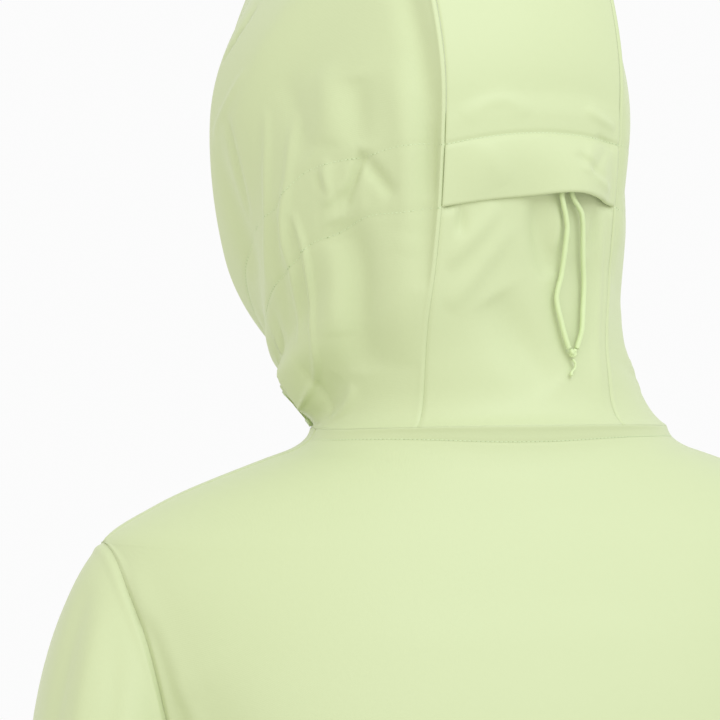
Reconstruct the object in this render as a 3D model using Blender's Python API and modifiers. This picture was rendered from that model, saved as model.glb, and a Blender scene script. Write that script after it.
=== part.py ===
"""A hooded softshell jacket, zipped up, in the hollow shape that it has when worn with the hood up.

Metres, +Z up. The origin is at the middle of the neck seam, where the wearer's neck and shoulders hold
the jacket. The front faces -Y and the wearer's left side is +X. The head is turned to the wearer's left.
"""

import math

import bmesh
import bpy
import numpy as np
from mathutils import Matrix

# ---------------------------------------------------------------- driving sizes

CLOTH = 0.0016  # the bonded softshell's wall
SEAM_GAP = 0.0003  # between two pieces that are sewn together
SEAM_SLOPE = 0.28  # how steeply a piece turns in at its seam
SEAM_DIP = 0.0015  # and at most this deep
LAYER_GAP = 0.0004  # between two layers that lie on each other

ARMHOLE_TOP = -0.055  # height of the shoulder tip
ARMHOLE_BOTTOM = -0.245  # height of the underarm point
ARMHOLE_BACK = 0.056  # how far the armhole reaches behind the shoulder line
ARMHOLE_FRONT = 0.054
NECK_HEIGHT = 0.001  # of the neck seam at the shoulder
BACK_NECK_FROM = -0.04  # the back neck rises from this height
BACK_NECK_RISE = 0.007  # of the neck seam at the centre back, above the shoulder's
FRONT_NECK_FROM = -0.16  # the front neck drops from this height
FRONT_NECK_DROP = 0.076  # of the neck seam at the centre front, below the shoulder's

CAP_SHARE = 0.42  # the share of a sleeve's length in its cap, above the first arm section
CAP_LEAVES_TIP = np.array([0.026, 0.0, -0.021])  # how the cap leaves the armhole at the shoulder tip,
CAP_LEAVES_UNDERARM = np.array([0.006, 0.0, -0.020])
CAP_LEAVES_SIDE = np.array([0.016, 0.016, -0.020])
CAP_MEETS_TIP = 0.130  # and how straight it runs down to the first arm section
CAP_MEETS_UNDERARM = 0.018
CAP_MEETS_SIDE = 0.055

NECK_STRIP = 0.0535  # half the width of the hood's middle strip at the neck seam
SIDE_LEAVES = math.radians(30)  # the hood's side leaves the strip at this angle from straight ahead
SIDE_ROUND = 0.40  # how full the side's curve is behind its widest point
HEAD_TURN = math.radians(16)
HEAD_TURN_FROM = -0.06  # the hood turns between these heights
HEAD_TURN_TO = 0.10
HEAD_LEFT = 0.020  # how far the turned head stands from the neck's middle
HEAD_FORWARD = 0.012
NECK_BLEND = 0.22  # the share of the hood over which it takes the neck seam's shape,
NECK_BLEND_HEIGHT = 0.70  # and over which its rings level out

FLAP_BOTTOM = 0.30  # the flap's loose edge, as a share of the hood's rows
FLAP_STITCH = 0.378  # the flap hangs from here
FLAP_TUCK = 0.40  # the lower strip ends here, under the upper one
FLAP_SMOOTH = 0.435  # above here the upper strip lies level with the hood's sides
FLAP_LIFT = 0.011  # how much higher the drawcord pulls the flap's edge
FLAP_STAND = 0.0088  # and how far it pushes the edge off the lower strip
FLAP_CURL = 1.2  # more curls the flap out nearer its loose edge
CORD_ACROSS = -0.40  # where the drawcord comes out, as a share of the strip's half width
CORD_SPREAD = 0.40

ZIP_HALF_GAP = 0.0040  # from the centre front to each front's edge
ZIP_MARGIN = 0.0180  # each front lies on its zip tape this far from the centre front
CHAIN_HALF_WIDTH = 0.0026
CHAIN_SINK = 0.0007  # how far the chain lies below the fronts' faces
CHAIN_DEPTH = 0.0019
TAPE_FROM = 0.0036  # from the centre front
TAPE_TO = 0.0160
TAPE_DEPTH = 0.0008
TAPE_GAP = 0.0008  # between a tape and the front that it lies under
ZIP_TOP = 0.90  # the slider's place, as a share of the hood's rows

SLIDER_SIZE = (0.0072, 0.0115, 0.0016)  # its plate: across, along and out of the zip
SLIDER_CLEAR = 0.0003  # how far the plate's underside is off the fronts' faces
EAR_SIZE = (0.0011, 0.0042, 0.0036)
EAR_APART = 0.0044  # between the middles of the two ears
PIN_DOWN = 0.0056  # from the slider's top end to its pin
PIN_OUT = 0.0043  # from the fronts' faces to the pin
PIN_RADIUS = 0.00065
EYE_RADII = (0.00095, 0.0019)  # of the pull's eye, round the pin
PULL_NECK = (0.0024, 0.0050)  # the pull's width at its eye, and how long that is
PULL_SIZE = (0.0062, 0.0240, 0.0015)  # the wide part of the pull
PULL_CORNER = 0.0014

CORD_DIAMETER = 0.0028
TAIL_DIAMETER = 0.0014
KNOT_DIAMETER = 0.0056


# ---------------------------------------------------------------- tables


def table(names, rows):
    """The columns of a short table, by name."""
    return dict(zip(names.split(), np.array(rows, float).T))


# Level sections through the body: half the width, and how far the back and the front stand from the
# shoulder line. A square of 2 is an ellipse, and more is a squarer ring.
BODY = table(
    "height half_width back front square",
    [
        (-0.690, 0.203, 0.146, 0.150, 2.4),  # hem
        (-0.560, 0.193, 0.136, 0.143, 2.4),
        (-0.430, 0.178, 0.122, 0.134, 2.4),  # waist
        (-0.330, 0.171, 0.127, 0.142, 2.4),
        (-0.245, 0.170, 0.134, 0.148, 2.4),  # underarm
        (-0.200, 0.189, 0.134, 0.145, 2.4),
        (-0.158, 0.206, 0.130, 0.139, 2.3),
        (-0.106, 0.222, 0.118, 0.128, 2.1),
        (-0.080, 0.226, 0.109, 0.122, 2.0),
        (-0.055, 0.219, 0.100, 0.117, 1.9),  # shoulder tip
        (-0.035, 0.189, 0.092, 0.113, 1.85),
        (-0.012, 0.132, 0.081, 0.107, 1.9),
        (NECK_HEIGHT, 0.092, 0.072, 0.104, 2.0),  # neck seam
    ],
)

# Level sections across one arm: where its middle is, and half its width across and along the body.
ARM = table(
    "height middle forward half_width half_depth",
    [
        (-0.650, 0.2760, -0.032, 0.0370, 0.0455),  # cuff
        (-0.590, 0.2690, -0.020, 0.0400, 0.0490),
        (-0.500, 0.2560, -0.004, 0.0445, 0.0560),
        (-0.390, 0.2390, 0.006, 0.0480, 0.0640),
        (-0.300, 0.2235, 0.004, 0.0465, 0.0700),
    ],
)

# Rings of the hood, each from the centre back or top (top_y, top_z) round to the centre front, before the
# head turns. The strip's half width, how far the ring falls away at its seams, half the ring's greatest
# width, and where that is between the front (-1) and the back (1). A front_square under 2 is pointed.
HOOD = table(
    "share top_y top_z front_y front_z strip strip_drop half_width widest front_square",
    [
        (0.00, 0.072, 0.008, -0.104, -0.075, 0.0535, 0.013, 0.092, -0.10, 2.00),  # neck seam
        (0.10, 0.076, 0.050, -0.106, -0.064, 0.0530, 0.012, 0.093, -0.15, 1.85),
        (0.20, 0.087, 0.092, -0.108, -0.055, 0.0555, 0.011, 0.099, -0.20, 1.80),
        (0.32, 0.095, 0.145, -0.109, -0.046, 0.0550, 0.011, 0.094, -0.15, 1.70),
        (0.45, 0.099, 0.200, -0.110, -0.037, 0.0555, 0.012, 0.099, -0.05, 1.65),
        (0.58, 0.087, 0.253, -0.111, -0.028, 0.0560, 0.012, 0.105, 0.00, 1.65),
        (0.70, 0.050, 0.291, -0.112, -0.020, 0.0560, 0.012, 0.108, 0.12, 1.60),
        (0.80, 0.002, 0.308, -0.113, -0.013, 0.0560, 0.012, 0.114, 0.20, 1.60),
        (0.90, -0.058, 0.306, -0.114, -0.006, 0.0555, 0.012, 0.109, 0.20, 1.70),
        (1.00, -0.115, 0.289, -0.114, 0.000, 0.0540, 0.012, 0.087, 0.15, 1.90),  # face opening
    ],
)

# The largest folds. Each runs from one place, by a second, to a third, on the piece's own two coordinates:
# round it (across, or turn in units of half a turn) and along it (share, or height). A height under 0 is a
# trough. The hood's are on the left side, whose folds the photograph shows, and then on the right.
FOLD_COLUMNS = "from_across from_along by_across by_along to_across to_along width height"
HOOD_FOLDS = table(
    FOLD_COLUMNS,
    [
        (1.90, 0.870, 2.06, 0.790, 2.18, 0.700, 0.013, -0.0032),  # the long diagonal beside the cheek
        (2.10, 0.700, 1.97, 0.560, 1.86, 0.400, 0.014, 0.0034),
        (1.84, 0.480, 1.73, 0.310, 1.75, 0.040, 0.014, 0.0034),  # the ridge down to the neck
        (1.42, 0.360, 1.37, 0.230, 1.47, 0.060, 0.017, -0.0030),
        (2.30, 0.420, 2.20, 0.260, 2.12, 0.080, 0.017, -0.0030),
        (2.60, 0.560, 2.42, 0.420, 2.36, 0.180, 0.018, 0.0030),
        (-2.05, 0.860, -2.15, 0.760, -2.12, 0.640, 0.014, -0.0030),
        (-1.95, 0.620, -1.80, 0.480, -1.78, 0.300, 0.016, 0.0034),
        (-1.55, 0.400, -1.48, 0.260, -1.60, 0.070, 0.017, -0.0030),
        (-2.20, 0.460, -2.02, 0.260, -2.00, 0.060, 0.016, 0.0032),
        (-2.55, 0.560, -2.44, 0.380, -2.30, 0.140, 0.018, -0.0030),
    ],
)
BACK_FOLDS = table(
    FOLD_COLUMNS,
    [
        (-1.75, -0.300, -1.10, -0.370, -0.30, -0.405, 0.026, -0.0040),
        (1.80, -0.285, 1.25, -0.350, 0.70, -0.440, 0.024, -0.0045),
        (1.60, -0.410, 1.20, -0.455, 0.40, -0.500, 0.028, 0.0045),
        (-1.55, -0.450, -1.00, -0.475, -0.40, -0.455, 0.026, 0.0040),
        (1.70, -0.130, 1.45, -0.180, 1.05, -0.260, 0.024, -0.0035),
        (-1.70, -0.150, -1.40, -0.210, -1.15, -0.270, 0.024, -0.0035),
    ],
)
FRONT_FOLDS = table(
    FOLD_COLUMNS,
    [
        (2.15, -0.290, 2.35, -0.340, 2.62, -0.430, 0.024, -0.0042),
        (2.18, -0.420, 2.40, -0.470, 2.66, -0.490, 0.026, 0.0042),
        (2.22, -0.140, 2.34, -0.190, 2.48, -0.280, 0.022, -0.0035),
    ],
)
SLEEVE_FOLDS = table(
    FOLD_COLUMNS,
    [
        (0.15, 0.480, -0.15, 0.520, -0.50, 0.500, 0.017, -0.0040),  # the crook of the elbow
        (0.25, 0.580, -0.10, 0.600, -0.45, 0.620, 0.018, -0.0038),
        (0.55, 0.360, 0.20, 0.430, -0.05, 0.445, 0.019, 0.0036),
        (0.60, 0.180, 0.42, 0.270, 0.30, 0.360, 0.018, -0.0036),
        (0.90, 0.640, 0.60, 0.710, 0.20, 0.730, 0.020, 0.0034),
        (-0.35, 0.790, -0.05, 0.830, 0.40, 0.850, 0.018, -0.0034),
    ],
)

# The drawcord's strands, from under the flap down to the knot: places on the strip, and how far the cord
# stands off it. Then its tail, below the knot.
STRANDS = {
    "drawcord_left": table(
        "across share stand",
        [
            (-0.250, 0.342, 0.0000),
            (-0.245, 0.325, 0.0006),
            (-0.245, 0.303, 0.0020),
            (-0.330, 0.258, 0.0026),
            (-0.320, 0.208, 0.0020),
            (-0.285, 0.176, 0.0018),
            (-0.370, 0.138, 0.0022),
            (-0.461, 0.106, 0.0020),
        ],
    ),
    "drawcord_right": table(
        "across share stand",
        [
            (-0.345, 0.342, 0.0000),
            (-0.350, 0.325, 0.0006),
            (-0.370, 0.303, 0.0020),
            (-0.500, 0.278, 0.0026),
            (-0.550, 0.236, 0.0022),
            (-0.605, 0.185, 0.0018),
            (-0.612, 0.138, 0.0022),
            (-0.552, 0.106, 0.0020),
        ],
    ),
}
KNOT = table("across share stand", [(-0.507, 0.1005, 0.0006)])
TAIL = table(
    "across share stand",
    [
        (-0.505, 0.0920, 0.0022),
        (-0.535, 0.0860, 0.0020),
        (-0.530, 0.0810, 0.0016),
        (-0.495, 0.0755, 0.0014),
        (-0.485, 0.0700, 0.0014),
    ],
)


def curve_at(known, values, at):
    """A smooth curve through a table's column, with no overshoot between its rows."""
    step = np.diff(known)
    slope = np.diff(values) / step
    tangent = np.zeros(len(values))
    tangent[0], tangent[-1] = slope[0], slope[-1]
    before, after = slope[:-1], slope[1:]
    same = before * after > 0
    mean = np.zeros(len(before))
    mean[same] = 2 / (1 / before[same] + 1 / after[same])
    tangent[1:-1] = mean
    at = np.clip(np.asarray(at, float), known[0], known[-1])
    i = np.clip(np.searchsorted(known, at, side="right") - 1, 0, len(step) - 1)
    t = (at - known[i]) / step[i]
    return (
        values[i] * (1 + 2 * t) * (1 - t) ** 2
        + tangent[i] * step[i] * t * (1 - t) ** 2
        + values[i + 1] * t * t * (3 - 2 * t)
        + tangent[i + 1] * step[i] * t * t * (t - 1)
    )


def section_at(rows, key, at):
    """Every column of a table at the given places along its key column."""
    return {name: curve_at(rows[key], rows[name], at) for name in rows if name != key}


def smooth(x):
    x = np.clip(x, 0.0, 1.0)
    return x * x * (3 - 2 * x)


def power(x, exponent):
    """x to a power, keeping its sign."""
    return np.sign(x) * np.abs(x) ** exponent


def stacked(*parts):
    return np.stack(np.broadcast_arrays(*parts), axis=-1)


def bezier(start, leave, meet, end, t):
    return start * (1 - t) ** 3 + 3 * leave * t * (1 - t) ** 2 + 3 * meet * t * t * (1 - t) + end * t**3


# ---------------------------------------------------------------- the body's form


def body_edge_angle(face, height):
    """The angle from the centre back or front at which a panel ends: at the side, or at the armhole."""
    section = section_at(BODY, "height", height)
    depth = section["back"] if face > 0 else section["front"]
    middle = (ARMHOLE_TOP + ARMHOLE_BOTTOM) / 2
    half = (ARMHOLE_TOP - ARMHOLE_BOTTOM) / 2
    inside = np.clip(1 - ((height - middle) / half) ** 2, 0, 1)
    reach = (ARMHOLE_BACK if face > 0 else ARMHOLE_FRONT) * np.sqrt(inside)
    return np.arccos(np.clip(reach / depth, 0, 1) ** (section["square"] / 2))


def body_point(face, angle, height):
    """A point of the body: face is 1 for the back and -1 for the front, angle is 0 at the centre."""
    section = section_at(BODY, "height", height)
    depth = section["back"] if face > 0 else section["front"]
    x = section["half_width"] * power(np.sin(angle), 2 / section["square"])
    y = face * depth * power(np.cos(angle), 2 / section["square"])
    middle = np.cos(angle) ** 2
    if face > 0:
        near_neck = smooth((height - BACK_NECK_FROM) / (NECK_HEIGHT - BACK_NECK_FROM))
        z = height + BACK_NECK_RISE * middle * near_neck
    else:
        near_neck = np.clip((height - FRONT_NECK_FROM) / (NECK_HEIGHT - FRONT_NECK_FROM), 0, 1)
        z = height - FRONT_NECK_DROP * middle**1.5 * near_neck**1.3
    return stacked(x, y, z)


NECK = section_at(BODY, "height", NECK_HEIGHT)
NECK_STRIP_ANGLE = math.asin(NECK_STRIP / float(NECK["half_width"]))


def neck_angle(across):
    """The angle round the neck seam: across is 0 at the centre back, 1 at the strip, 2 at the side."""
    strip = NECK_STRIP_ANGLE * across
    side = NECK_STRIP_ANGLE + (math.pi / 2 - NECK_STRIP_ANGLE) * (across - 1)
    return np.where(across <= 1, strip, np.where(across <= 2, side, math.pi / 2 * (across - 1)))


def back_point(across, height):
    """The back: across runs from -2 at the right side or armhole to 2 at the left."""
    share = neck_angle(np.abs(across)) / (math.pi / 2)
    point = body_point(1, body_edge_angle(1, height) * share, height)
    return point * stacked(np.where(across < 0, -1.0, 1.0), 1.0, 1.0)


def front_angle(x, height):
    section = section_at(BODY, "height", height)
    return np.arcsin((x / section["half_width"]) ** (section["square"] / 2))


def front_point(across, height):
    """The left front: across is 2 at the side, 3 at the zip tape's edge and 4 at the front's own edge."""
    side = body_edge_angle(-1, height)
    margin = front_angle(ZIP_MARGIN, height)
    edge = front_angle(ZIP_HALF_GAP, height)
    wide = side + (margin - side) * (across - 2)
    narrow = margin + (edge - margin) * (across - 3)
    return body_point(-1, np.where(across <= 3, wide, narrow), height)


# ---------------------------------------------------------------- the sleeve's form


def armhole_height(turn):
    middle = (ARMHOLE_TOP + ARMHOLE_BOTTOM) / 2
    half = (ARMHOLE_TOP - ARMHOLE_BOTTOM) / 2
    return middle - half * np.cos(turn)


def armhole_point(turn):
    """The left armhole's edge: turn is 0 at the underarm, a quarter at the back and a half at the tip."""
    height = armhole_height(turn)
    back = body_point(1, body_edge_angle(1, height), height)
    front = body_point(-1, body_edge_angle(-1, height), height)
    return np.where((np.sin(turn) >= 0)[..., None], back, front)


def arm_point(turn, height):
    section = section_at(ARM, "height", height)
    x = section["middle"] - section["half_width"] * np.cos(turn)
    y = section["forward"] + section["half_depth"] * np.sin(turn)
    return stacked(x, y, height)


def sleeve_point(turn, share):
    """The left sleeve: share is 0 at the armhole and 1 at the cuff."""
    turn, share = np.broadcast_arrays(np.asarray(turn, float), np.asarray(share, float))
    tip = ((1 - np.cos(turn)) / 2)[..., None] ** 1.5
    under = ((1 + np.cos(turn)) / 2)[..., None] ** 1.5
    side = (np.sin(turn) ** 2)[..., None]
    outward = stacked(np.ones_like(turn), np.where(np.sin(turn) < 0, -1.0, 1.0) * np.abs(np.sin(turn)), 1.0)
    leave = tip * CAP_LEAVES_TIP + under * CAP_LEAVES_UNDERARM + side * CAP_LEAVES_SIDE * outward
    meet = tip * CAP_MEETS_TIP + under * CAP_MEETS_UNDERARM + side * CAP_MEETS_SIDE
    start = armhole_point(turn)
    top, cuff = ARM["height"][-1], ARM["height"][0]
    end = arm_point(turn, top)
    t = np.clip(share / CAP_SHARE, 0, 1)[..., None]
    cap = bezier(start, start + leave, end + meet * np.array([0.0, 0.0, 1.0]), end, t)
    below = np.clip((share - CAP_SHARE) / (1 - CAP_SHARE), 0, 1)
    arm = arm_point(turn, top + (cuff - top) * below)
    return np.where((share <= CAP_SHARE)[..., None], cap, arm)


# ---------------------------------------------------------------- the hood's form


def hood_front_across(x, share):
    """The place on a ring of the hood's side, between 2 and 3, at this distance from the centre front."""
    section = section_at(HOOD, "share", share)
    angle = np.arccos((x / section["half_width"]) ** (section["front_square"] / 2))
    return 2 + angle / (math.pi / 2)


def ring_point(across, share):
    """The left half of a ring: across is 0 at the back, 1 at the strip's seam, 2 at the widest, 3 in front."""
    section = section_at(HOOD, "share", share)
    half_y = (section["top_y"] - section["front_y"]) / 2
    half_z = (section["top_z"] - section["front_z"]) / 2
    length = np.hypot(half_y, half_z)

    strip = np.clip(across, 0, 1)
    strip_x = section["strip"] * strip
    strip_along = length - section["strip_drop"] * strip**2

    side = np.clip(across - 1, 0, 1)
    seam_x, seam_along = section["strip"], length - section["strip_drop"]
    wide_x, wide_along = section["half_width"], section["widest"] * length
    reach = (seam_along - wide_along) * SIDE_ROUND
    side_x = bezier(seam_x, seam_x + reach * math.sin(SIDE_LEAVES), wide_x, wide_x, side)
    leaving_along = seam_along - reach * math.cos(SIDE_LEAVES)
    side_along = bezier(seam_along, leaving_along, wide_along + reach, wide_along, side)

    turn = np.clip(across - 2, 0, 1) * math.pi / 2
    front_x = wide_x * power(np.cos(turn), 2 / section["front_square"])
    front_along = wide_along - (length + wide_along) * power(np.sin(turn), 2 / section["front_square"])

    x = np.where(across <= 1, strip_x, np.where(across <= 2, side_x, front_x))
    along = np.where(across <= 1, strip_along, np.where(across <= 2, side_along, front_along))
    y = (section["top_y"] + section["front_y"]) / 2 + along * half_y / length
    z = (section["top_z"] + section["front_z"]) / 2 + along * half_z / length
    return stacked(x, y, z)


def neck_point(across):
    angle = neck_angle(across)
    back = body_point(1, angle, NECK_HEIGHT)
    front = body_point(-1, math.pi - angle, NECK_HEIGHT)
    return np.where((across <= 2)[..., None], back, front)


def turn_head(points, share):
    """Turns and shifts the hood with the head, more the higher it is above the neck."""
    height = points[..., 2]
    k = smooth((height - HEAD_TURN_FROM) / (HEAD_TURN_TO - HEAD_TURN_FROM)) * smooth(share / NECK_BLEND)
    angle = HEAD_TURN * k
    x = points[..., 0] * np.cos(angle) - points[..., 1] * np.sin(angle) + HEAD_LEFT * k
    y = points[..., 0] * np.sin(angle) + points[..., 1] * np.cos(angle) - HEAD_FORWARD * k
    return stacked(x, y, height)


def hood_point(across, share):
    """The hood: across is negative on the wearer's right. From 2 to 3 and 4 it runs as on a front."""
    across, share = np.broadcast_arrays(np.asarray(across, float), np.asarray(share, float))
    place = np.abs(across)
    margin = hood_front_across(ZIP_MARGIN, share)
    edge = hood_front_across(ZIP_HALF_GAP, share)
    place = np.where(place > 3, margin + (edge - margin) * (place - 3), place)
    wide = (np.abs(across) > 2) & (np.abs(across) <= 3)
    place = np.where(wide, 2 + (margin - 2) * (np.abs(across) - 2), place)
    blend_round = 1 - smooth(share / NECK_BLEND)
    blend = stacked(blend_round, blend_round, 1 - smooth(share / NECK_BLEND_HEIGHT))
    at_neck = ring_point(place, np.zeros_like(share))
    points = ring_point(place, share) + (neck_point(place) - at_neck) * blend
    return turn_head(points * stacked(np.where(across < 0, -1.0, 1.0), 1.0, 1.0), share)


# ---------------------------------------------------------------- folds


def distance_to_line(points, line):
    """From each point to the nearest of a line's stretches, and how far along the line that is, 0 to 1."""
    start, step = line[:-1], np.diff(line, axis=0)
    gap = points[..., None, :] - start
    t = np.clip((gap * step).sum(-1) / (step**2).sum(-1), 0, 1)
    apart = np.linalg.norm(gap - t[..., None] * step, axis=-1)
    nearest = apart.argmin(axis=-1)[..., None]
    along = (nearest + np.take_along_axis(t, nearest, -1)) / len(step)
    return np.take_along_axis(apart, nearest, -1)[..., 0], along[..., 0]


def fold_heights(points, surface, folds):
    """How far the folds raise each point of a surface: soft ridges and troughs that die out at both ends."""
    t = np.linspace(0, 1, 9)
    start, middle, end = (1 - t) * (1 - 2 * t), 4 * t * (1 - t), t * (2 * t - 1)
    raised = np.zeros(points.shape[:-1])
    for i in range(len(folds["width"])):
        fold = {name: values[i] for name, values in folds.items()}
        across = fold["from_across"] * start + fold["by_across"] * middle + fold["to_across"] * end
        along = fold["from_along"] * start + fold["by_along"] * middle + fold["to_along"] * end
        apart, place = distance_to_line(points, surface(across, along))
        fade = np.clip(4 * place * (1 - place), 0, 1) ** 0.6
        raised += fold["height"] * np.exp(-((apart / fold["width"]) ** 2)) * fade
    return raised


# ---------------------------------------------------------------- grids of points


def grid(point, across, along):
    """The points of a surface: a row for each place along it, and a column for each place across."""
    columns, rows = np.meshgrid(np.array(across, float), np.array(along, float))
    return point(columns, rows)


def outward_normals(points, closed=False):
    """A normal at each point of a grid whose columns run clockwise as seen from outside, rows upward."""
    if closed:
        wrapped = np.concatenate([points[:, -1:], points, points[:, :1]], axis=1)
        over = np.gradient(wrapped, axis=1)[:, 1:-1]
    else:
        over = np.gradient(points, axis=1)
    up = np.gradient(points, axis=0)
    normal = np.cross(up, over)
    return normal / np.linalg.norm(normal, axis=-1, keepdims=True)


def folded(points, across, along, surface, folds, flat, closed=False):
    """Raises a grid's folds. flat is 0 where a seam keeps the cloth flat and 1 away from it."""
    columns, rows = np.meshgrid(np.array(across, float), np.array(along, float))
    raised = fold_heights(points, surface, folds) * flat(columns, rows)
    return points + outward_normals(points, closed) * raised[..., None]


EDGES = {"bottom": (0, 0), "top": (0, -1), "start": (1, 0), "end": (1, -1)}


def sewn(points, *edges, normals=None, closed=False):
    """Turns the named edges of a grid in, as a seam does, and parts them from the piece beside them."""
    if normals is None:
        normals = outward_normals(points, closed)
    result = points.copy()
    for name in edges:
        axis, index = EDGES[name]
        edge = np.take(points, index, axis)
        into = np.take(points, 1 if index == 0 else -2, axis) - edge
        distance = np.linalg.norm(into, axis=-1, keepdims=True)
        dip = np.minimum(distance * SEAM_SLOPE, SEAM_DIP)
        place = [slice(None)] * 3
        place[axis] = index
        result[tuple(place)] += into / distance * SEAM_GAP / 2 - np.take(normals, index, axis) * dip
    return result


# ---------------------------------------------------------------- objects


def collection(name):
    made = bpy.data.collections.new(name)
    bpy.context.scene.collection.children.link(made)
    return made


def material(name, colour, roughness, metallic=0.0):
    made = bpy.data.materials.new(name)
    made.use_nodes = True
    shader = made.node_tree.nodes["Principled BSDF"]
    shader.inputs["Base Color"].default_value = (*colour, 1.0)
    shader.inputs["Roughness"].default_value = roughness
    shader.inputs["Metallic"].default_value = metallic
    return made


def add_object(name, data, parts, colour):
    made = bpy.data.objects.new(name, data)
    made.data.materials.append(colour)
    parts.objects.link(made)
    return made


def cloth_piece(name, points, parts, colour, wall=CLOTH, closed=False):
    """A wall of cloth under a grid of outer points, thickened inward."""
    rows, columns = points.shape[:2]
    mesh = bpy.data.meshes.new(name)
    faces = []
    for row in range(rows - 1):
        for column in range(columns if closed else columns - 1):
            after = (column + 1) % columns
            here, above = row * columns, (row + 1) * columns
            faces.append((here + column, above + column, above + after, here + after))
    mesh.from_pydata(points.reshape(-1, 3).tolist(), [], faces)
    mesh.shade_smooth()
    made = add_object(name, mesh, parts, colour)
    shell = made.modifiers.new("wall", "SOLIDIFY")
    shell.thickness = wall
    shell.offset = -1.0
    return made


def mirrored(values):
    """A list that runs from minus its last value to its last, from the half that starts at 0."""
    return [-value for value in reversed(values[1:])] + list(values)


# ---------------------------------------------------------------- where the grids' lines lie

STRIP_LINES = [0, 0.32, 0.64, 0.91, 1]
SIDE_BACK_LINES = [1, 1.04, 1.3, 1.55, 1.8, 1.95, 2]
SIDE_FRONT_LINES = [2, 2.05, 2.18, 2.36, 2.56, 2.78, 3, 4]
HOOD_ROWS = [
    *(0, 0.011, 0.04, 0.08, 0.12, 0.16, 0.20, 0.235, 0.27, FLAP_BOTTOM, 0.325, 0.352, FLAP_STITCH, FLAP_TUCK),
    *(FLAP_SMOOTH, 0.47, 0.515, 0.56, 0.61, 0.66, 0.71, 0.76, 0.81, 0.86, ZIP_TOP, 0.95, 1),
]
ARMHOLE_TURNS = 10  # the rows of a front or back beside an armhole
ARMHOLE_ROWS = [float(armhole_height(math.pi * i / ARMHOLE_TURNS)) for i in range(ARMHOLE_TURNS + 1)]
BODY_ROWS = [
    *(-0.69, -0.64, -0.58, -0.52, -0.46, -0.40, -0.345, -0.295, -0.255),
    *ARMHOLE_ROWS,
    *(-0.045, -0.034, -0.022, -0.011, -0.004, NECK_HEIGHT),
]
SLEEVE_ROWS = [0, 0.019, 0.05, 0.09, 0.135, 0.18, 0.23, 0.28, 0.35, CAP_SHARE]
SLEEVE_ROWS += [CAP_SHARE + (1 - CAP_SHARE) * (i + 1) / 9 for i in range(9)]


# ---------------------------------------------------------------- pieces of cloth


def back_flat(across, height):
    return smooth((2 - np.abs(across)) / 0.25) * smooth((NECK_HEIGHT - height) / 0.06)


def front_flat(across, height):
    return smooth((across - 2) / 0.1) * smooth((3 - across) / 0.3) * smooth((NECK_HEIGHT - height) / 0.06)


def sleeve_flat(turn, share):
    return smooth(share / 0.12)


def sleeve_surface(turn, share):
    return sleeve_point(turn * math.pi, share)


def hood_flat(across, share):
    place = np.abs(across)
    return smooth((place - 1) / 0.3) * smooth((3 - place) / 0.3) * smooth(share / 0.05) * smooth((1 - share) / 0.1)


def body_grids():
    across = mirrored(STRIP_LINES + SIDE_BACK_LINES[1:])
    back = grid(back_point, across, BODY_ROWS)
    back = folded(back, across, BODY_ROWS, back_point, BACK_FOLDS, back_flat)
    front = grid(front_point, SIDE_FRONT_LINES, BODY_ROWS)
    front = folded(front, SIDE_FRONT_LINES, BODY_ROWS, front_point, FRONT_FOLDS, front_flat)
    mirror = np.array([-1.0, 1.0, 1.0])
    return {
        "back": sewn(back, "start", "end", "top"),
        "front_left": sewn(front, "start", "top"),
        "front_right": sewn(front[:, ::-1] * mirror, "end", "top"),
    }


def sleeve_grid(side):
    """One sleeve: side is 1 for the wearer's left and -1 for the right."""
    turns = [-i / ARMHOLE_TURNS for i in range(2 * ARMHOLE_TURNS)]
    points = grid(sleeve_surface, turns, SLEEVE_ROWS)
    points = folded(points, turns, SLEEVE_ROWS, sleeve_surface, SLEEVE_FOLDS, sleeve_flat, closed=True)
    if side < 0:
        points = points[:, ::-1] * np.array([-1.0, 1.0, 1.0])
    return sewn(points, "bottom", closed=True)


def cord_bump(across):
    """How much of the drawcord's lift the flap has here: 1 where the cord comes out, 0 at its seams."""
    near = np.exp(-(((across - CORD_ACROSS) / CORD_SPREAD) ** 2))
    return near * smooth((1 - np.abs(across)) / 0.25)


def flap_hang(share):
    """0 at the stitches that the flap hangs from and above them, 1 at its loose edge."""
    return np.clip((FLAP_STITCH - share) / (FLAP_STITCH - FLAP_BOTTOM), 0, 1)


def flap_share(across, share):
    """Where a row of the upper strip runs: its lowest rows follow the flap's loose edge."""
    return share + FLAP_LIFT * cord_bump(across) * flap_hang(share)


def hood_grids():
    """The hood's four pieces. Their seams share the normals of the whole hood, so their walls meet square."""
    sides = SIDE_BACK_LINES + SIDE_FRONT_LINES[1:]
    lines = mirrored(STRIP_LINES + sides[1:])
    whole = grid(hood_point, lines, HOOD_ROWS)
    whole = folded(whole, lines, HOOD_ROWS, hood_point, HOOD_FOLDS, hood_flat)
    normals = outward_normals(whole)
    right, left = lines.index(-1), lines.index(1)
    over, under = HOOD_ROWS.index(FLAP_BOTTOM), HOOD_ROWS.index(FLAP_TUCK) + 1

    def piece(rows, columns, *edges):
        return sewn(whole[rows, columns], *edges, normals=normals[rows, columns])

    strip = slice(right, left + 1)
    across, share = np.meshgrid(np.array(lines[strip]), np.array(HOOD_ROWS[over:]))
    upper = hood_point(across, flap_share(across, share))
    layered = 1 - smooth((share - FLAP_TUCK) / (FLAP_SMOOTH - FLAP_TUCK))
    stand = FLAP_STAND * cord_bump(across) * flap_hang(share) ** FLAP_CURL
    lift = (CLOTH + LAYER_GAP) * layered + stand
    upper = upper + outward_normals(upper) * lift[..., None]
    return {
        "hood_side_left": piece(slice(None), slice(left, None), "start", "bottom"),
        "hood_side_right": piece(slice(None), slice(0, right + 1), "end", "bottom"),
        "hood_strip_lower": piece(slice(0, under), strip, "start", "end", "bottom"),
        "hood_strip_upper": sewn(upper, "start", "end", normals=normals[over:, strip]),
    }


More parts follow.
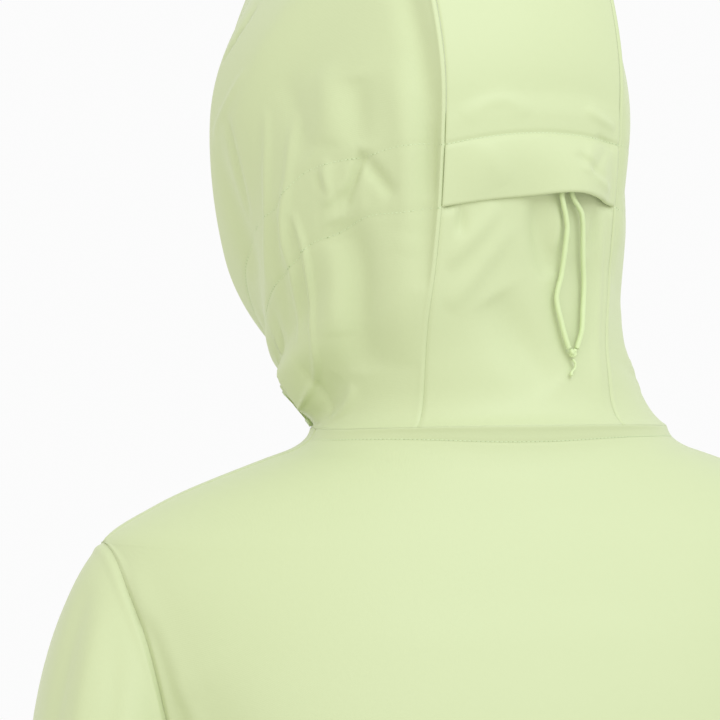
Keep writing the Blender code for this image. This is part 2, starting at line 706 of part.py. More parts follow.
def add_cloth(parts, colour):
    grids = {**body_grids(), **hood_grids()}
    for name, points in grids.items():
        cloth_piece(name, points, parts, colour)
    cloth_piece("sleeve_left", sleeve_grid(1), parts, colour, closed=True)
    cloth_piece("sleeve_right", sleeve_grid(-1), parts, colour, closed=True)
    return grids


# ---------------------------------------------------------------- zip


def zip_stations(body, hood):
    """The two outer columns of a front and of the hood's side above it, in one run up the zip."""
    top = HOOD_ROWS.index(ZIP_TOP)
    seam = (body[-1:] + hood[:1]) / 2
    return np.concatenate([body[:-1], seam, hood[3:top:2], hood[top : top + 1]])


def add_zip(grids, parts, tape_colour, chain_colour):
    left = zip_stations(grids["front_left"][:, -2:], grids["hood_side_left"][:, -2:])
    right = zip_stations(grids["front_right"][:, 1::-1], grids["hood_side_right"][:, 1::-1])
    sides = {"zip_tape_left": left, "zip_tape_right": right[:, ::-1]}
    edge, margin = ZIP_HALF_GAP, ZIP_MARGIN
    for name, pair in sides.items():
        normals = outward_normals(pair)
        tape = pair - normals * (CLOTH + TAPE_GAP)
        inner, outer = (tape[:, -1], tape[:, 0]) if name.endswith("left") else (tape[:, 0], tape[:, -1])
        columns = [inner + (outer - inner) * (x - edge) / (margin - edge) for x in (TAPE_FROM, TAPE_TO)]
        if name.endswith("left"):
            columns.reverse()
        cloth_piece(name, np.stack(columns, axis=1), parts, tape_colour, wall=TAPE_DEPTH)
    middle = (left[:, -1] + right[:, -1]) / 2
    across = right[:, -1] - left[:, -1]
    across /= np.linalg.norm(across, axis=-1, keepdims=True)
    up = np.gradient(middle, axis=0)
    outward = np.cross(up, across)
    outward /= np.linalg.norm(outward, axis=-1, keepdims=True)
    face = middle - outward * CHAIN_SINK
    chain = np.stack([face - across * CHAIN_HALF_WIDTH, face + across * CHAIN_HALF_WIDTH], axis=1)
    cloth_piece("zip_chain", chain, parts, chain_colour, wall=CHAIN_DEPTH)


def zip_frame(share):
    """A matrix on the fronts' faces at the centre front: X to the left, Y up the zip and Z out."""
    edges = [hood_point(np.array([4.0, -4.0]), place) for place in (share - 0.01, share, share + 0.01)]
    below, here, above = [pair.mean(axis=0) for pair in edges]
    left = edges[1][0] - edges[1][1]
    left /= np.linalg.norm(left)
    out = np.cross(left, above - below)
    out /= np.linalg.norm(out)
    up = np.cross(out, left)
    frame = np.eye(4)
    frame[:3] = np.stack([left, up, out, here], axis=1)
    return Matrix(frame.tolist())


def solid_box(name, size, middle, corner=0.0):
    """A box about a point, with its four upright edges rounded."""
    body = bmesh.new()
    bmesh.ops.create_cube(body, size=1.0)
    bmesh.ops.scale(body, vec=size, verts=body.verts)
    if corner:
        upright = [e for e in body.edges if abs(e.verts[0].co.z - e.verts[1].co.z) > size[2] / 2]
        bmesh.ops.bevel(body, geom=upright, offset=corner, segments=3, affect="EDGES", profile=0.5)
    bmesh.ops.translate(body, vec=middle, verts=body.verts)
    mesh = bpy.data.meshes.new(name)
    body.to_mesh(mesh)
    body.free()
    return mesh


def solid_rod(name, radius, length, middle, sides=20):
    """A rod along X about a point."""
    body = bmesh.new()
    turn = Matrix.Rotation(math.pi / 2, 4, "Y")
    ends = dict(cap_ends=True, segments=sides, radius1=radius, radius2=radius, depth=length)
    bmesh.ops.create_cone(body, matrix=turn, **ends)
    bmesh.ops.translate(body, vec=middle, verts=body.verts)
    mesh = bpy.data.meshes.new(name)
    body.to_mesh(mesh)
    body.free()
    return mesh


def boolean(target, mesh, operation, cutters):
    """Joins a mesh to an object or cuts it away, with the mesh in the object's own frame."""
    tool = bpy.data.objects.new(f"{target.name}_{mesh.name}", mesh)
    tool.matrix_world = target.matrix_world
    tool.hide_render = True
    tool.display_type = "WIRE"
    cutters.objects.link(tool)
    step = target.modifiers.new(mesh.name, "BOOLEAN")
    step.operation = operation
    step.object = tool
    step.solver = "EXACT"


def add_slider(frame, parts, cutters, metal):
    _, length, thick = SLIDER_SIZE
    plate = solid_box("plate", SLIDER_SIZE, (0, -length / 2, thick / 2 + SLIDER_CLEAR), PULL_CORNER)
    slider = add_object("zip_slider", plate, parts, metal)
    slider.matrix_world = frame
    plate_top = thick + SLIDER_CLEAR
    sunk = 0.0004  # the ears start inside the plate
    for side in (-1, 1):
        middle = (side * EAR_APART / 2, -PIN_DOWN, plate_top - sunk + EAR_SIZE[2] / 2)
        boolean(slider, solid_box(f"ear_{side + 1}", EAR_SIZE, middle), "UNION", cutters)
    pin = solid_rod("pin", PIN_RADIUS, EAR_APART, (0, -PIN_DOWN, PIN_OUT))
    boolean(slider, pin, "UNION", cutters)


def add_pull(frame, parts, cutters, metal):
    """The pull hangs straight down from the slider's pin, where its origin is."""
    hole, rim = EYE_RADII
    width, length, thick = PULL_SIZE
    neck_width, neck_length = PULL_NECK
    pull = add_object("zip_pull", solid_rod("eye", rim, neck_width, (0, 0, 0)), parts, metal)
    hang = math.atan2(frame[2][2], frame[2][1])
    pin = Matrix.Translation((0, -PIN_DOWN, PIN_OUT))
    pull.matrix_world = frame @ pin @ Matrix.Rotation(hang, 4, "X")
    into = 0.0008  # the neck runs this far into the tab
    neck_size = (neck_width * 0.9, neck_length, thick)
    neck = solid_box("neck", neck_size, (0, -hole - neck_length / 2, 0))
    boolean(pull, neck, "UNION", cutters)
    tab_middle = -hole - neck_length - length / 2 + into
    boolean(pull, solid_box("tab", PULL_SIZE, (0, tab_middle, 0), PULL_CORNER), "UNION", cutters)
    boolean(pull, solid_rod("hole", hole, 2 * neck_width, (0, 0, 0)), "DIFFERENCE", cutters)


# ---------------------------------------------------------------- drawcord


def beside_strip(places, radius):
    """The middle of a cord that lies on the lower strip, at the places of a table's rows."""
    across, share = places["across"], places["share"]
    step = 0.002
    over = hood_point(across + step, share) - hood_point(across - step, share)
    up = hood_point(across, share + step) - hood_point(across, share - step)
    out = np.cross(up, over)
    out /= np.linalg.norm(out, axis=-1, keepdims=True)
    return hood_point(across, share) + out * (radius + SEAM_GAP + places["stand"])[..., None]


def add_cord(name, route, diameter, parts, colour, points=16):
    rows = np.arange(len(route["share"]), dtype=float)
    at = np.linspace(0, rows[-1], points)
    places = {column: curve_at(rows, values, at) for column, values in route.items()}
    line = beside_strip(places, diameter / 2)
    curve = bpy.data.curves.new(name, "CURVE")
    curve.dimensions = "3D"
    curve.bevel_depth = diameter / 2
    curve.bevel_resolution = 2
    curve.use_fill_caps = True
    spline = curve.splines.new("POLY")
    spline.points.add(points - 1)
    for point, place in zip(spline.points, line):
        point.co = (*place, 1.0)
    add_object(name, curve, parts, colour)


def add_knot(parts, colour):
    middle = beside_strip(KNOT, KNOT_DIAMETER / 2)[0]
    body = bmesh.new()
    bmesh.ops.create_uvsphere(body, u_segments=12, v_segments=8, radius=KNOT_DIAMETER / 2)
    mesh = bpy.data.meshes.new("drawcord_knot")
    body.to_mesh(mesh)
    body.free()
    mesh.shade_smooth()
    add_object("drawcord_knot", mesh, parts, colour).location = middle


# ---------------------------------------------------------------- scene


def main():
    for old in list(bpy.data.objects):
        bpy.data.objects.remove(old, do_unlink=True)
    parts = collection("softshell_jacket")
    cutters = collection("cutters")
    shell = material("lime_softshell", (0.67, 0.79, 0.44), 0.55)
    tape = material("lime_zip_tape", (0.58, 0.72, 0.34), 0.7)
    chain = material("lime_zip_chain", (0.60, 0.74, 0.34), 0.4)
    metal = material("lime_lacquered_metal", (0.56, 0.70, 0.32), 0.3, 0.2)
    cord = material("lime_cord", (0.70, 0.83, 0.36), 0.6)
    grids = add_cloth(parts, shell)
    add_zip(grids, parts, tape, chain)
    frame = zip_frame(ZIP_TOP)
    add_slider(frame, parts, cutters, metal)
    add_pull(frame, parts, cutters, metal)
    for name, route in STRANDS.items():
        add_cord(name, route, CORD_DIAMETER, parts, cord)
    add_knot(parts, cord)
    add_cord("drawcord_tail", TAIL, TAIL_DIAMETER, parts, cord, points=9)


main()
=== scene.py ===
import math

import bmesh
import bpy
import numpy as np
from mathutils import Matrix, Vector


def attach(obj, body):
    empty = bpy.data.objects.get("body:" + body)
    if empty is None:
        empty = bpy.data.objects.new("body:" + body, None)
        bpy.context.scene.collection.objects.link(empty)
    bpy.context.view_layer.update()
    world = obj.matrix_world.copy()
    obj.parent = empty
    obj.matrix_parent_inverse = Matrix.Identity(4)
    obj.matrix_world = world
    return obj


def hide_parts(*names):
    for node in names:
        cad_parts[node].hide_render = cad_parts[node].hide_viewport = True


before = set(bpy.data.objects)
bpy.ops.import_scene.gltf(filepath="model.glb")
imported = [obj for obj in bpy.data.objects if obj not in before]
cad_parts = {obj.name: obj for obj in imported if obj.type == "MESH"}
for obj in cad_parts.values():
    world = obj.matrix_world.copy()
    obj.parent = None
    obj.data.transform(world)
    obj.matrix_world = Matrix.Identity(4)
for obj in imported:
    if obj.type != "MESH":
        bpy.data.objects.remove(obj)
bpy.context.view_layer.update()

# A hooded softshell jacket. Metres, +Z up, front to -Y, wearer's left to +X, origin mid neck seam.

view = {
    "azimuth": 167,
    "elevation": 2,
    "distance": 2.6,
    "pixel": 0.00056,  # metres a pixel at the jacket
    "originAt": (490, 438),  # where the neck seam's middle is in the picture
    "picture": 720,
    "sensor": 36,
    "clipEnd": 60,
}

studio = {
    "floorHeight": -1.45,
    "floorSize": 14,
    "floorColour": (0.93, 0.93, 0.92),
    "floorRoughness": 0.9,
    "sky": 0.97,
    "keyAt": (1.5, 0.9, 1.4),  # away from the target to the camera, right and up
    "keyPower": 24,
    "keySize": 1.3,
    "keyColour": (0.92, 0.97, 1.16),
    "fillAt": (2.2, -1.6, 0.2),
    "fillPower": 8,
    "fillSize": 2.2,
    "fillColour": (1.0, 0.96, 0.82),
}


def linked(name, data):
    made = bpy.data.objects.new(name, data)
    bpy.context.scene.collection.objects.link(made)
    return made


def aimed(place, target):
    return (Vector(target) - Vector(place)).to_track_quat("-Z", "Y").to_euler()


def addCamera():
    turn, tilt = math.radians(view["azimuth"]), math.radians(view["elevation"])
    away = Vector((math.sin(turn) * math.cos(tilt), -math.cos(turn) * math.cos(tilt), math.sin(tilt)))
    right = Vector((math.cos(turn), math.sin(turn), 0))
    up = away.cross(right)
    half = view["picture"] / 2
    overX, overY = view["originAt"][0] - half, view["originAt"][1] - half
    target = (up * overY - right * overX) * view["pixel"]
    lens = bpy.data.cameras.new("camera")
    lens.sensor_width = view["sensor"]
    lens.lens = view["sensor"] * view["distance"] / (view["picture"] * view["pixel"])
    lens.clip_end = view["clipEnd"]
    camera = linked("camera", lens)
    camera.location = target + away * view["distance"]
    camera.rotation_euler = aimed(camera.location, target)
    bpy.context.scene.camera = camera
    return target, away, right


def addLight(name, target, away, right):
    lamp = bpy.data.lights.new(name + "Light", "AREA")
    lamp.energy, lamp.size, lamp.color = (studio[name + word] for word in ("Power", "Size", "Colour"))
    back, aside, above = studio[name + "At"]
    made = linked(name + "Light", lamp)
    made.location = target + away * back + right * aside + Vector((0, 0, above))
    made.rotation_euler = aimed(made.location, target)


def addStudio(target, away, right):
    bpy.context.scene.view_settings.view_transform = "Standard"
    world = bpy.data.worlds.new("studioWorld")
    bpy.context.scene.world = world
    world.use_nodes = True
    sky = world.node_tree.nodes["Background"]
    sky.inputs["Color"].default_value = (1, 1, 1, 1)
    sky.inputs["Strength"].default_value = studio["sky"]
    for name in ("key", "fill"):
        addLight(name, target, away, right)
    body = bmesh.new()
    bmesh.ops.create_grid(body, x_segments=1, y_segments=1, size=studio["floorSize"] / 2)
    mesh = bpy.data.meshes.new("studioFloor")
    body.to_mesh(mesh)
    body.free()
    floor = linked("studioFloor", mesh)
    floor.location.z = studio["floorHeight"]
    paint = bpy.data.materials.new("paleFloor")
    paint.use_nodes = True
    shader = paint.node_tree.nodes["Principled BSDF"]
    shader.inputs["Base Color"].default_value = (*studio["floorColour"], 1)
    shader.inputs["Roughness"].default_value = studio["floorRoughness"]
    mesh.materials.append(paint)


target, away, right = addCamera()
addStudio(target, away, right)
print("camera and studio ready")


# sizes and sections that the solids have too


def columns(names, rows):
    return dict(zip(names.split(), np.array(rows, float).T))


cloth = {
    "wall": 0.0016,
    "layerGap": 0.0004,
    "hemTurn": 0.0017,  # half the thickness of a turned hem
    "hemStitch": 0.003,  # from the hem's inner edge
    "sewnApart": 0.00004,  # a hair between pieces that are sewn together
}

bodyRings = columns(
    "height halfWidth back front square",
    [
        (-0.690, 0.203, 0.146, 0.150, 2.4),  # hem
        (-0.560, 0.193, 0.136, 0.143, 2.4),
        (-0.430, 0.178, 0.122, 0.134, 2.4),  # waist
        (-0.330, 0.171, 0.127, 0.142, 2.4),
        (-0.245, 0.170, 0.134, 0.148, 2.4),  # underarm
        (-0.200, 0.189, 0.134, 0.145, 2.4),
        (-0.158, 0.206, 0.130, 0.139, 2.3),
        (-0.106, 0.222, 0.118, 0.128, 2.1),
        (-0.080, 0.226, 0.109, 0.122, 2.0),
        (-0.055, 0.219, 0.100, 0.117, 1.9),  # shoulder tip
        (-0.035, 0.189, 0.092, 0.113, 1.85),
        (-0.012, 0.132, 0.081, 0.107, 1.9),
        (0.001, 0.092, 0.072, 0.104, 2.0),  # neck seam
    ],
)
armRings = columns(
    "height middle forward halfWidth halfDepth",
    [
        (-0.650, 0.2760, -0.032, 0.0370, 0.0455),  # cuff
        (-0.590, 0.2690, -0.020, 0.0400, 0.0490),
        (-0.500, 0.2560, -0.004, 0.0445, 0.0560),
        (-0.390, 0.2390, 0.006, 0.0480, 0.0640),
        (-0.300, 0.2235, 0.004, 0.0465, 0.0700),
    ],
)
hoodRings = columns(
    "share topY topZ frontY frontZ strip drop halfWidth widest square",
    [
        (0.00, 0.072, 0.008, -0.104, -0.075, 0.0535, 0.013, 0.092, -0.10, 2.00),  # neck seam
        (0.10, 0.076, 0.050, -0.106, -0.064, 0.0530, 0.012, 0.093, -0.15, 1.85),
        (0.20, 0.087, 0.092, -0.108, -0.055, 0.0555, 0.011, 0.099, -0.20, 1.80),
        (0.32, 0.095, 0.145, -0.109, -0.046, 0.0550, 0.011, 0.094, -0.15, 1.70),
        (0.45, 0.099, 0.200, -0.110, -0.037, 0.0555, 0.012, 0.099, -0.05, 1.65),
        (0.58, 0.087, 0.253, -0.111, -0.028, 0.0560, 0.012, 0.105, 0.00, 1.65),
        (0.70, 0.050, 0.291, -0.112, -0.020, 0.0560, 0.012, 0.108, 0.12, 1.60),
        (0.80, 0.002, 0.308, -0.113, -0.013, 0.0560, 0.012, 0.114, 0.20, 1.60),
        (0.90, -0.058, 0.306, -0.114, -0.006, 0.0555, 0.012, 0.109, 0.20, 1.70),
        (1.00, -0.115, 0.289, -0.114, 0.000, 0.0540, 0.012, 0.087, 0.15, 1.90),  # face opening
    ],
)

bodyForm = {
    "armholeTop": -0.055,
    "armholeBottom": -0.245,
    "armholeBack": 0.056,
    "armholeFront": 0.054,
    "neckHeight": 0.001,
    "backNeckFrom": -0.04,
    "backNeckRise": 0.007,
    "frontNeckFrom": -0.16,
    "frontNeckDrop": 0.076,
    "neckStrip": 0.0535,
    "hemHeight": -0.69,
    "edgePull": 2.0,  # how close to the armhole its curve bends the cloth's rows
}
armholeMiddle = (bodyForm["armholeTop"] + bodyForm["armholeBottom"]) / 2
armholeHalf = (bodyForm["armholeTop"] - bodyForm["armholeBottom"]) / 2
sleeveForm = {
    "capShare": 0.42,
    "length": 0.60,
    "leavesTip": np.array([0.026, 0.0, -0.021]),
    "leavesUnderarm": np.array([0.006, 0.0, -0.020]),
    "leavesSide": np.array([0.016, 0.016, -0.020]),
    "meetsTip": 0.130,
    "meetsUnderarm": 0.018,
    "meetsSide": 0.055,
}
hoodForm = {
    "sideLeaves": math.radians(30),
    "sideRound": 0.40,
    "turn": math.radians(16),
    "turnFrom": -0.06,
    "turnTo": 0.10,
    "left": 0.020,
    "forward": 0.012,
    "blend": 0.22,
    "blendHeight": 0.70,
}
zipForm = {"halfGap": 0.0040, "margin": 0.0180, "top": 0.90}
flapForm = {
    "bottom": 0.30,
    "stitch": 0.378,
    "tuck": 0.40,
    "smooth": 0.435,
    "lift": 0.011,
    "stand": 0.0088,
    "curl": 1.2,
    "swell": 0.0026,
    "hemDepth": 0.012,
    "length": 0.41,  # of the strip
    "endsFrom": 0.62,
    "endsOver": 0.36,
    "endsDeep": 0.0030,
    "endsFree": 0.05,
    "behindFrom": 0.286,
    "behindOver": 0.014,
    "underGap": 0.0003,
    "underOver": 0.016,
    "cordAt": -0.40,
    "spread": 0.40,
}


def curveAt(known, values, at):  # smooth, with no overshoot between the rows
    step = np.diff(known)
    slope = np.diff(values) / step
    tangent = np.zeros(len(values))
    tangent[0], tangent[-1] = slope[0], slope[-1]
    before, after = slope[:-1], slope[1:]
    same = before * after > 0
    tangent[1:-1][same] = 2 / (1 / before[same] + 1 / after[same])
    at = np.clip(np.asarray(at, float), known[0], known[-1])
    i = np.clip(np.searchsorted(known, at, side="right") - 1, 0, len(step) - 1)
    t = (at - known[i]) / step[i]
    return (
        values[i] * (1 + 2 * t) * (1 - t) ** 2
        + tangent[i] * step[i] * t * (1 - t) ** 2
        + values[i + 1] * t * t * (3 - 2 * t)
        + tangent[i + 1] * step[i] * t * t * (t - 1)
    )


def sectionAt(rings, key, at):
    return {name: curveAt(rings[key], rings[name], at) for name in rings if name != key}


def ease(x):
    x = np.clip(x, 0.0, 1.0)
    return x * x * (3 - 2 * x)


def signedPower(x, exponent):
    return np.sign(x) * np.abs(x) ** exponent


def stacked(*parts):
    return np.stack(np.broadcast_arrays(*parts), axis=-1)


def mirrored(points, across):
    return points * stacked(np.where(across < 0, -1.0, 1.0), 1.0, 1.0)


def bezier(start, leave, meet, end, t):
    return start * (1 - t) ** 3 + 3 * leave * t * (1 - t) ** 2 + 3 * meet * t * t * (1 - t) + end * t**3


def unit(vectors):
    return vectors / np.linalg.norm(vectors, axis=-1, keepdims=True)


# body: face 1 is the back and -1 the front, angle 0 is its centre


def edgeAngle(face, height):
    ring = sectionAt(bodyRings, "height", height)
    depth = ring["back"] if face > 0 else ring["front"]
    inside = np.clip(1 - ((height - armholeMiddle) / armholeHalf) ** 2, 0, 1)
    reach = bodyForm["armholeBack" if face > 0 else "armholeFront"] * np.sqrt(inside)
    return np.arccos(np.clip(reach / depth, 0, 1) ** (ring["square"] / 2))


def bodyPoint(face, angle, height):
    ring = sectionAt(bodyRings, "height", height)
    depth = ring["back"] if face > 0 else ring["front"]
    x = ring["halfWidth"] * signedPower(np.sin(angle), 2 / ring["square"])
    y = face * depth * signedPower(np.cos(angle), 2 / ring["square"])
    middle = np.cos(angle) ** 2
    neck = bodyForm["neckHeight"]
    if face > 0:
        near = ease((height - bodyForm["backNeckFrom"]) / (neck - bodyForm["backNeckFrom"]))
        z = height + bodyForm["backNeckRise"] * middle * near
    else:
        near = np.clip((height - bodyForm["frontNeckFrom"]) / (neck - bodyForm["frontNeckFrom"]), 0, 1)
        z = height - bodyForm["frontNeckDrop"] * middle**1.5 * near**1.3
    return stacked(x, y, z)


neckRing = sectionAt(bodyRings, "height", bodyForm["neckHeight"])
stripAngle = math.asin(bodyForm["neckStrip"] / float(neckRing["halfWidth"]))


def neckAngle(across):
    side = stripAngle + (math.pi / 2 - stripAngle) * (across - 1)
    return np.where(across <= 1, stripAngle * across, np.where(across <= 2, side, math.pi / 2 * (across - 1)))


def backPoint(across, height):  # across -2 to 2
    share = neckAngle(np.abs(across)) / (math.pi / 2)
    pulledIn = (math.pi / 2 - edgeAngle(1, height)) * share**bodyForm["edgePull"]
    point = bodyPoint(1, math.pi / 2 * share - pulledIn, height)
    return mirrored(point, across)


def frontAngle(x, height):
    ring = sectionAt(bodyRings, "height", height)
    return np.arcsin((x / ring["halfWidth"]) ** (ring["square"] / 2))


def frontPoint(across, height):  # 2 side, 3 the zip tape's edge, 4 the front's own edge
    side = edgeAngle(-1, height)
    margin = frontAngle(zipForm["margin"], height)
    edge = frontAngle(zipForm["halfGap"], height)
    plain = math.pi / 2 + (margin - math.pi / 2) * (across - 2)
    wide = plain - (math.pi / 2 - side) * np.clip(3 - across, 0, 1) ** bodyForm["edgePull"]
    narrow = margin + (edge - margin) * (across - 3)
    return bodyPoint(-1, np.where(across <= 3, wide, narrow), height)


# sleeve: turn 0 under the arm, 0.5 at the back, 1 at the shoulder's tip; share 0 armhole, 1 cuff


def armholePoint(angle):
    height = armholeMiddle - armholeHalf * np.cos(angle)
    back = bodyPoint(1, edgeAngle(1, height), height)
    front = bodyPoint(-1, edgeAngle(-1, height), height)
    return np.where((np.sin(angle) >= 0)[..., None], back, front)


def armPoint(angle, height):
    ring = sectionAt(armRings, "height", height)
    x = ring["middle"] - ring["halfWidth"] * np.cos(angle)
    y = ring["forward"] + ring["halfDepth"] * np.sin(angle)
    return stacked(x, y, height)


def sleevePoint(turn, share):
    angle, share = np.broadcast_arrays(np.asarray(turn, float) * math.pi, np.asarray(share, float))
    tip = ((1 - np.cos(angle)) / 2)[..., None] ** 1.5
    under = ((1 + np.cos(angle)) / 2)[..., None] ** 1.5
    side = (np.sin(angle) ** 2)[..., None]
    outward = stacked(np.ones_like(angle), np.sin(angle), 1.0)
    leave = tip * sleeveForm["leavesTip"] + under * sleeveForm["leavesUnderarm"]
    leave = leave + side * sleeveForm["leavesSide"] * outward
    meet = tip * sleeveForm["meetsTip"] + under * sleeveForm["meetsUnderarm"]
    meet = meet + side * sleeveForm["meetsSide"]
    start = armholePoint(angle)
    top, cuff = armRings["height"][-1], armRings["height"][0]
    end = armPoint(angle, top)
    t = np.clip(share / sleeveForm["capShare"], 0, 1)[..., None]
    cap = bezier(start, start + leave, end + meet * np.array([0.0, 0.0, 1.0]), end, t)
    below = np.clip((share - sleeveForm["capShare"]) / (1 - sleeveForm["capShare"]), 0, 1)
    arm = armPoint(angle, top + (cuff - top) * below)
    return np.where((share <= sleeveForm["capShare"])[..., None], cap, arm)


def sleeveSurface(turn, share):  # turn -0.5 is at the back here, so that the normals point out
    return sleevePoint(-np.asarray(turn, float), share)


# hood: across 0 centre back and top, 1 strip seam, 2 widest, 3 tape's edge, 4 front edge
# share 0 neck, 1 face


def frontAcross(x, share):
    ring = sectionAt(hoodRings, "share", share)
    return 2 + np.arccos((x / ring["halfWidth"]) ** (ring["square"] / 2)) / (math.pi / 2)


def ringPoint(across, share):
    ring = sectionAt(hoodRings, "share", share)
    halfY = (ring["topY"] - ring["frontY"]) / 2
    halfZ = (ring["topZ"] - ring["frontZ"]) / 2
    length = np.hypot(halfY, halfZ)
    strip = np.clip(across, 0, 1)
    stripX, stripAlong = ring["strip"] * strip, length - ring["drop"] * strip**2
    side = np.clip(across - 1, 0, 1)
    seamAlong = length - ring["drop"]
    wideX, wideAlong = ring["halfWidth"], ring["widest"] * length
    reach = (seamAlong - wideAlong) * hoodForm["sideRound"]
    leaveX = ring["strip"] + reach * math.sin(hoodForm["sideLeaves"])
    sideX = bezier(ring["strip"], leaveX, wideX, wideX, side)
    leaveAlong = seamAlong - reach * math.cos(hoodForm["sideLeaves"])
    sideAlong = bezier(seamAlong, leaveAlong, wideAlong + reach, wideAlong, side)
    turn = np.clip(across - 2, 0, 1) * math.pi / 2
    frontX = wideX * signedPower(np.cos(turn), 2 / ring["square"])
    frontAlong = wideAlong - (length + wideAlong) * signedPower(np.sin(turn), 2 / ring["square"])
    x = np.where(across <= 1, stripX, np.where(across <= 2, sideX, frontX))
    along = np.where(across <= 1, stripAlong, np.where(across <= 2, sideAlong, frontAlong))
    y = (ring["topY"] + ring["frontY"]) / 2 + along * halfY / length
    z = (ring["topZ"] + ring["frontZ"]) / 2 + along * halfZ / length
    return stacked(x, y, z)


def neckPoint(across):
    angle = neckAngle(across)
    back = bodyPoint(1, angle, bodyForm["neckHeight"])
    front = bodyPoint(-1, math.pi - angle, bodyForm["neckHeight"])
    return np.where((across <= 2)[..., None], back, front)


def turnHead(points, share):
    height = points[..., 2]
    k = ease((height - hoodForm["turnFrom"]) / (hoodForm["turnTo"] - hoodForm["turnFrom"]))
    k = k * ease(share / hoodForm["blend"])
    angle = hoodForm["turn"] * k
    x = points[..., 0] * np.cos(angle) - points[..., 1] * np.sin(angle) + hoodForm["left"] * k
    y = points[..., 0] * np.sin(angle) + points[..., 1] * np.cos(angle) - hoodForm["forward"] * k
    return stacked(x, y, height)


def hoodPoint(across, share):
    across, share = np.broadcast_arrays(np.asarray(across, float), np.asarray(share, float))
    place = np.abs(across)
    margin, edge = frontAcross(zipForm["margin"], share), frontAcross(zipForm["halfGap"], share)
    place = np.where(place > 3, margin + (edge - margin) * (place - 3), place)
    wide = (np.abs(across) > 2) & (np.abs(across) <= 3)
    place = np.where(wide, 2 + (margin - 2) * (np.abs(across) - 2), place)
    blendRound = 1 - ease(share / hoodForm["blend"])
    blend = stacked(blendRound, blendRound, 1 - ease(share / hoodForm["blendHeight"]))
    points = ringPoint(place, share) + (neckPoint(place) - ringPoint(place, np.zeros_like(share))) * blend
    return turnHead(mirrored(points, across), share)


def surfaceNormal(surface, across, along, step=0.0015):
    across, along = np.broadcast_arrays(np.asarray(across, float), np.asarray(along, float))
    over = surface(across + step, along) - surface(across - step, along)
    up = surface(across, along + step) - surface(across, along - step)
    return unit(np.cross(up, over))


neckJoin = {"reach": 0.026, "move": 0.0062, "until": 2.3, "fade": 0.6, "below": 0.003, "above": 0.004}


def neckShift(part, across, points):
    # hood and body run into each other in a soft curve instead of a corner
    place, low = np.abs(across), np.zeros_like(across)
    below = low + bodyForm["neckHeight"] - neckJoin["below"]
    backOut = surfaceNormal(backPoint, np.clip(place, 0, 2), below)
    frontOut = surfaceNormal(frontPoint, np.clip(place, 2, 4), below)
    bodyOut = mirrored(np.where((place <= 2)[..., None], backOut, frontOut), across)
    hoodOut = surfaceNormal(hoodPoint, across, low + neckJoin["above"])
    apart = np.linalg.norm(points - hoodPoint(across, low), axis=-1)
    near = np.clip(1 - apart / neckJoin["reach"], 0, 1)
    amount = neckJoin["move"] * (1 - ease((place - neckJoin["until"]) / neckJoin["fade"]))
    own, other = (hoodOut, bodyOut) if part == "hood" else (bodyOut, hoodOut)
    return (own * (near**2)[..., None] + other * (near**3)[..., None]) * amount[..., None]


print("forms ready")


# drawcord: two strands out of the flap, a knot and its thread tail

cordRoutes = {
    "drawcordLeft": columns(
        "across share stand",
        [
            (-0.250, 0.342, 0.0000),
            (-0.245, 0.325, 0.0006),
            (-0.245, 0.303, 0.0020),
            (-0.330, 0.258, 0.0026),
            (-0.320, 0.208, 0.0020),
            (-0.285, 0.176, 0.0018),
            (-0.370, 0.138, 0.0022),
            (-0.461, 0.106, 0.0020),
        ],
    ),
    "drawcordRight": columns(
        "across share stand",
        [
            (-0.345, 0.342, 0.0000),
            (-0.350, 0.325, 0.0006),
            (-0.370, 0.303, 0.0020),
            (-0.500, 0.278, 0.0026),
            (-0.550, 0.236, 0.0022),
            (-0.605, 0.185, 0.0018),
            (-0.612, 0.138, 0.0022),
            (-0.552, 0.106, 0.0020),
        ],
    ),
}
tailRoute = columns(
    "across share stand",
    [
        (-0.505, 0.0920, 0.0022),
        (-0.535, 0.0860, 0.0020),
        (-0.530, 0.0810, 0.0016),
        (-0.495, 0.0755, 0.0014),
        (-0.485, 0.0700, 0.0014),
    ],
)
drawcord = {
    "diameter": 0.0028,
    "standsOff": 0.0003,
    "rings": 260,
    "sides": 20,
    "plaits": 8,  # strands of the braid that run each way round
    "plaitPitch": 0.0042,
    "plaitDepth": 0.05,
    "knotDiameter": 0.0056,
    "knotAt": (-0.507, 0.1005, 0.0006),
    "tailDiameter": 0.0014,
    "bulbDiameter": 0.0021,
    "bulbBack": 0.0011,  # from the tail's end
    "bulbLong": 0.0008,
    "tailTwist": 0.05,
    "tailPitch": 0.0011,
    "knotThick": 0.42,  # of its size
    "knotFlat": 1.15,
    "knotTurn": 35,
}


def besideStrip(across, share, stand, radius):
    out = surfaceNormal(hoodPoint, across, share, 0.002)
    return hoodPoint(across, share) + out * np.asarray(radius + drawcord["standsOff"] + stand)[..., None]


def cordLine(route, radius, count):
    rows = np.arange(len(route["share"]), dtype=float)
    at = np.linspace(0, rows[-1], count)
    place = {name: curveAt(rows, values, at) for name, values in route.items()}
    return besideStrip(place["across"], place["share"], place["stand"], radius)


def lineLength(line):
    return float(np.linalg.norm(np.diff(line, axis=0), axis=1).sum())


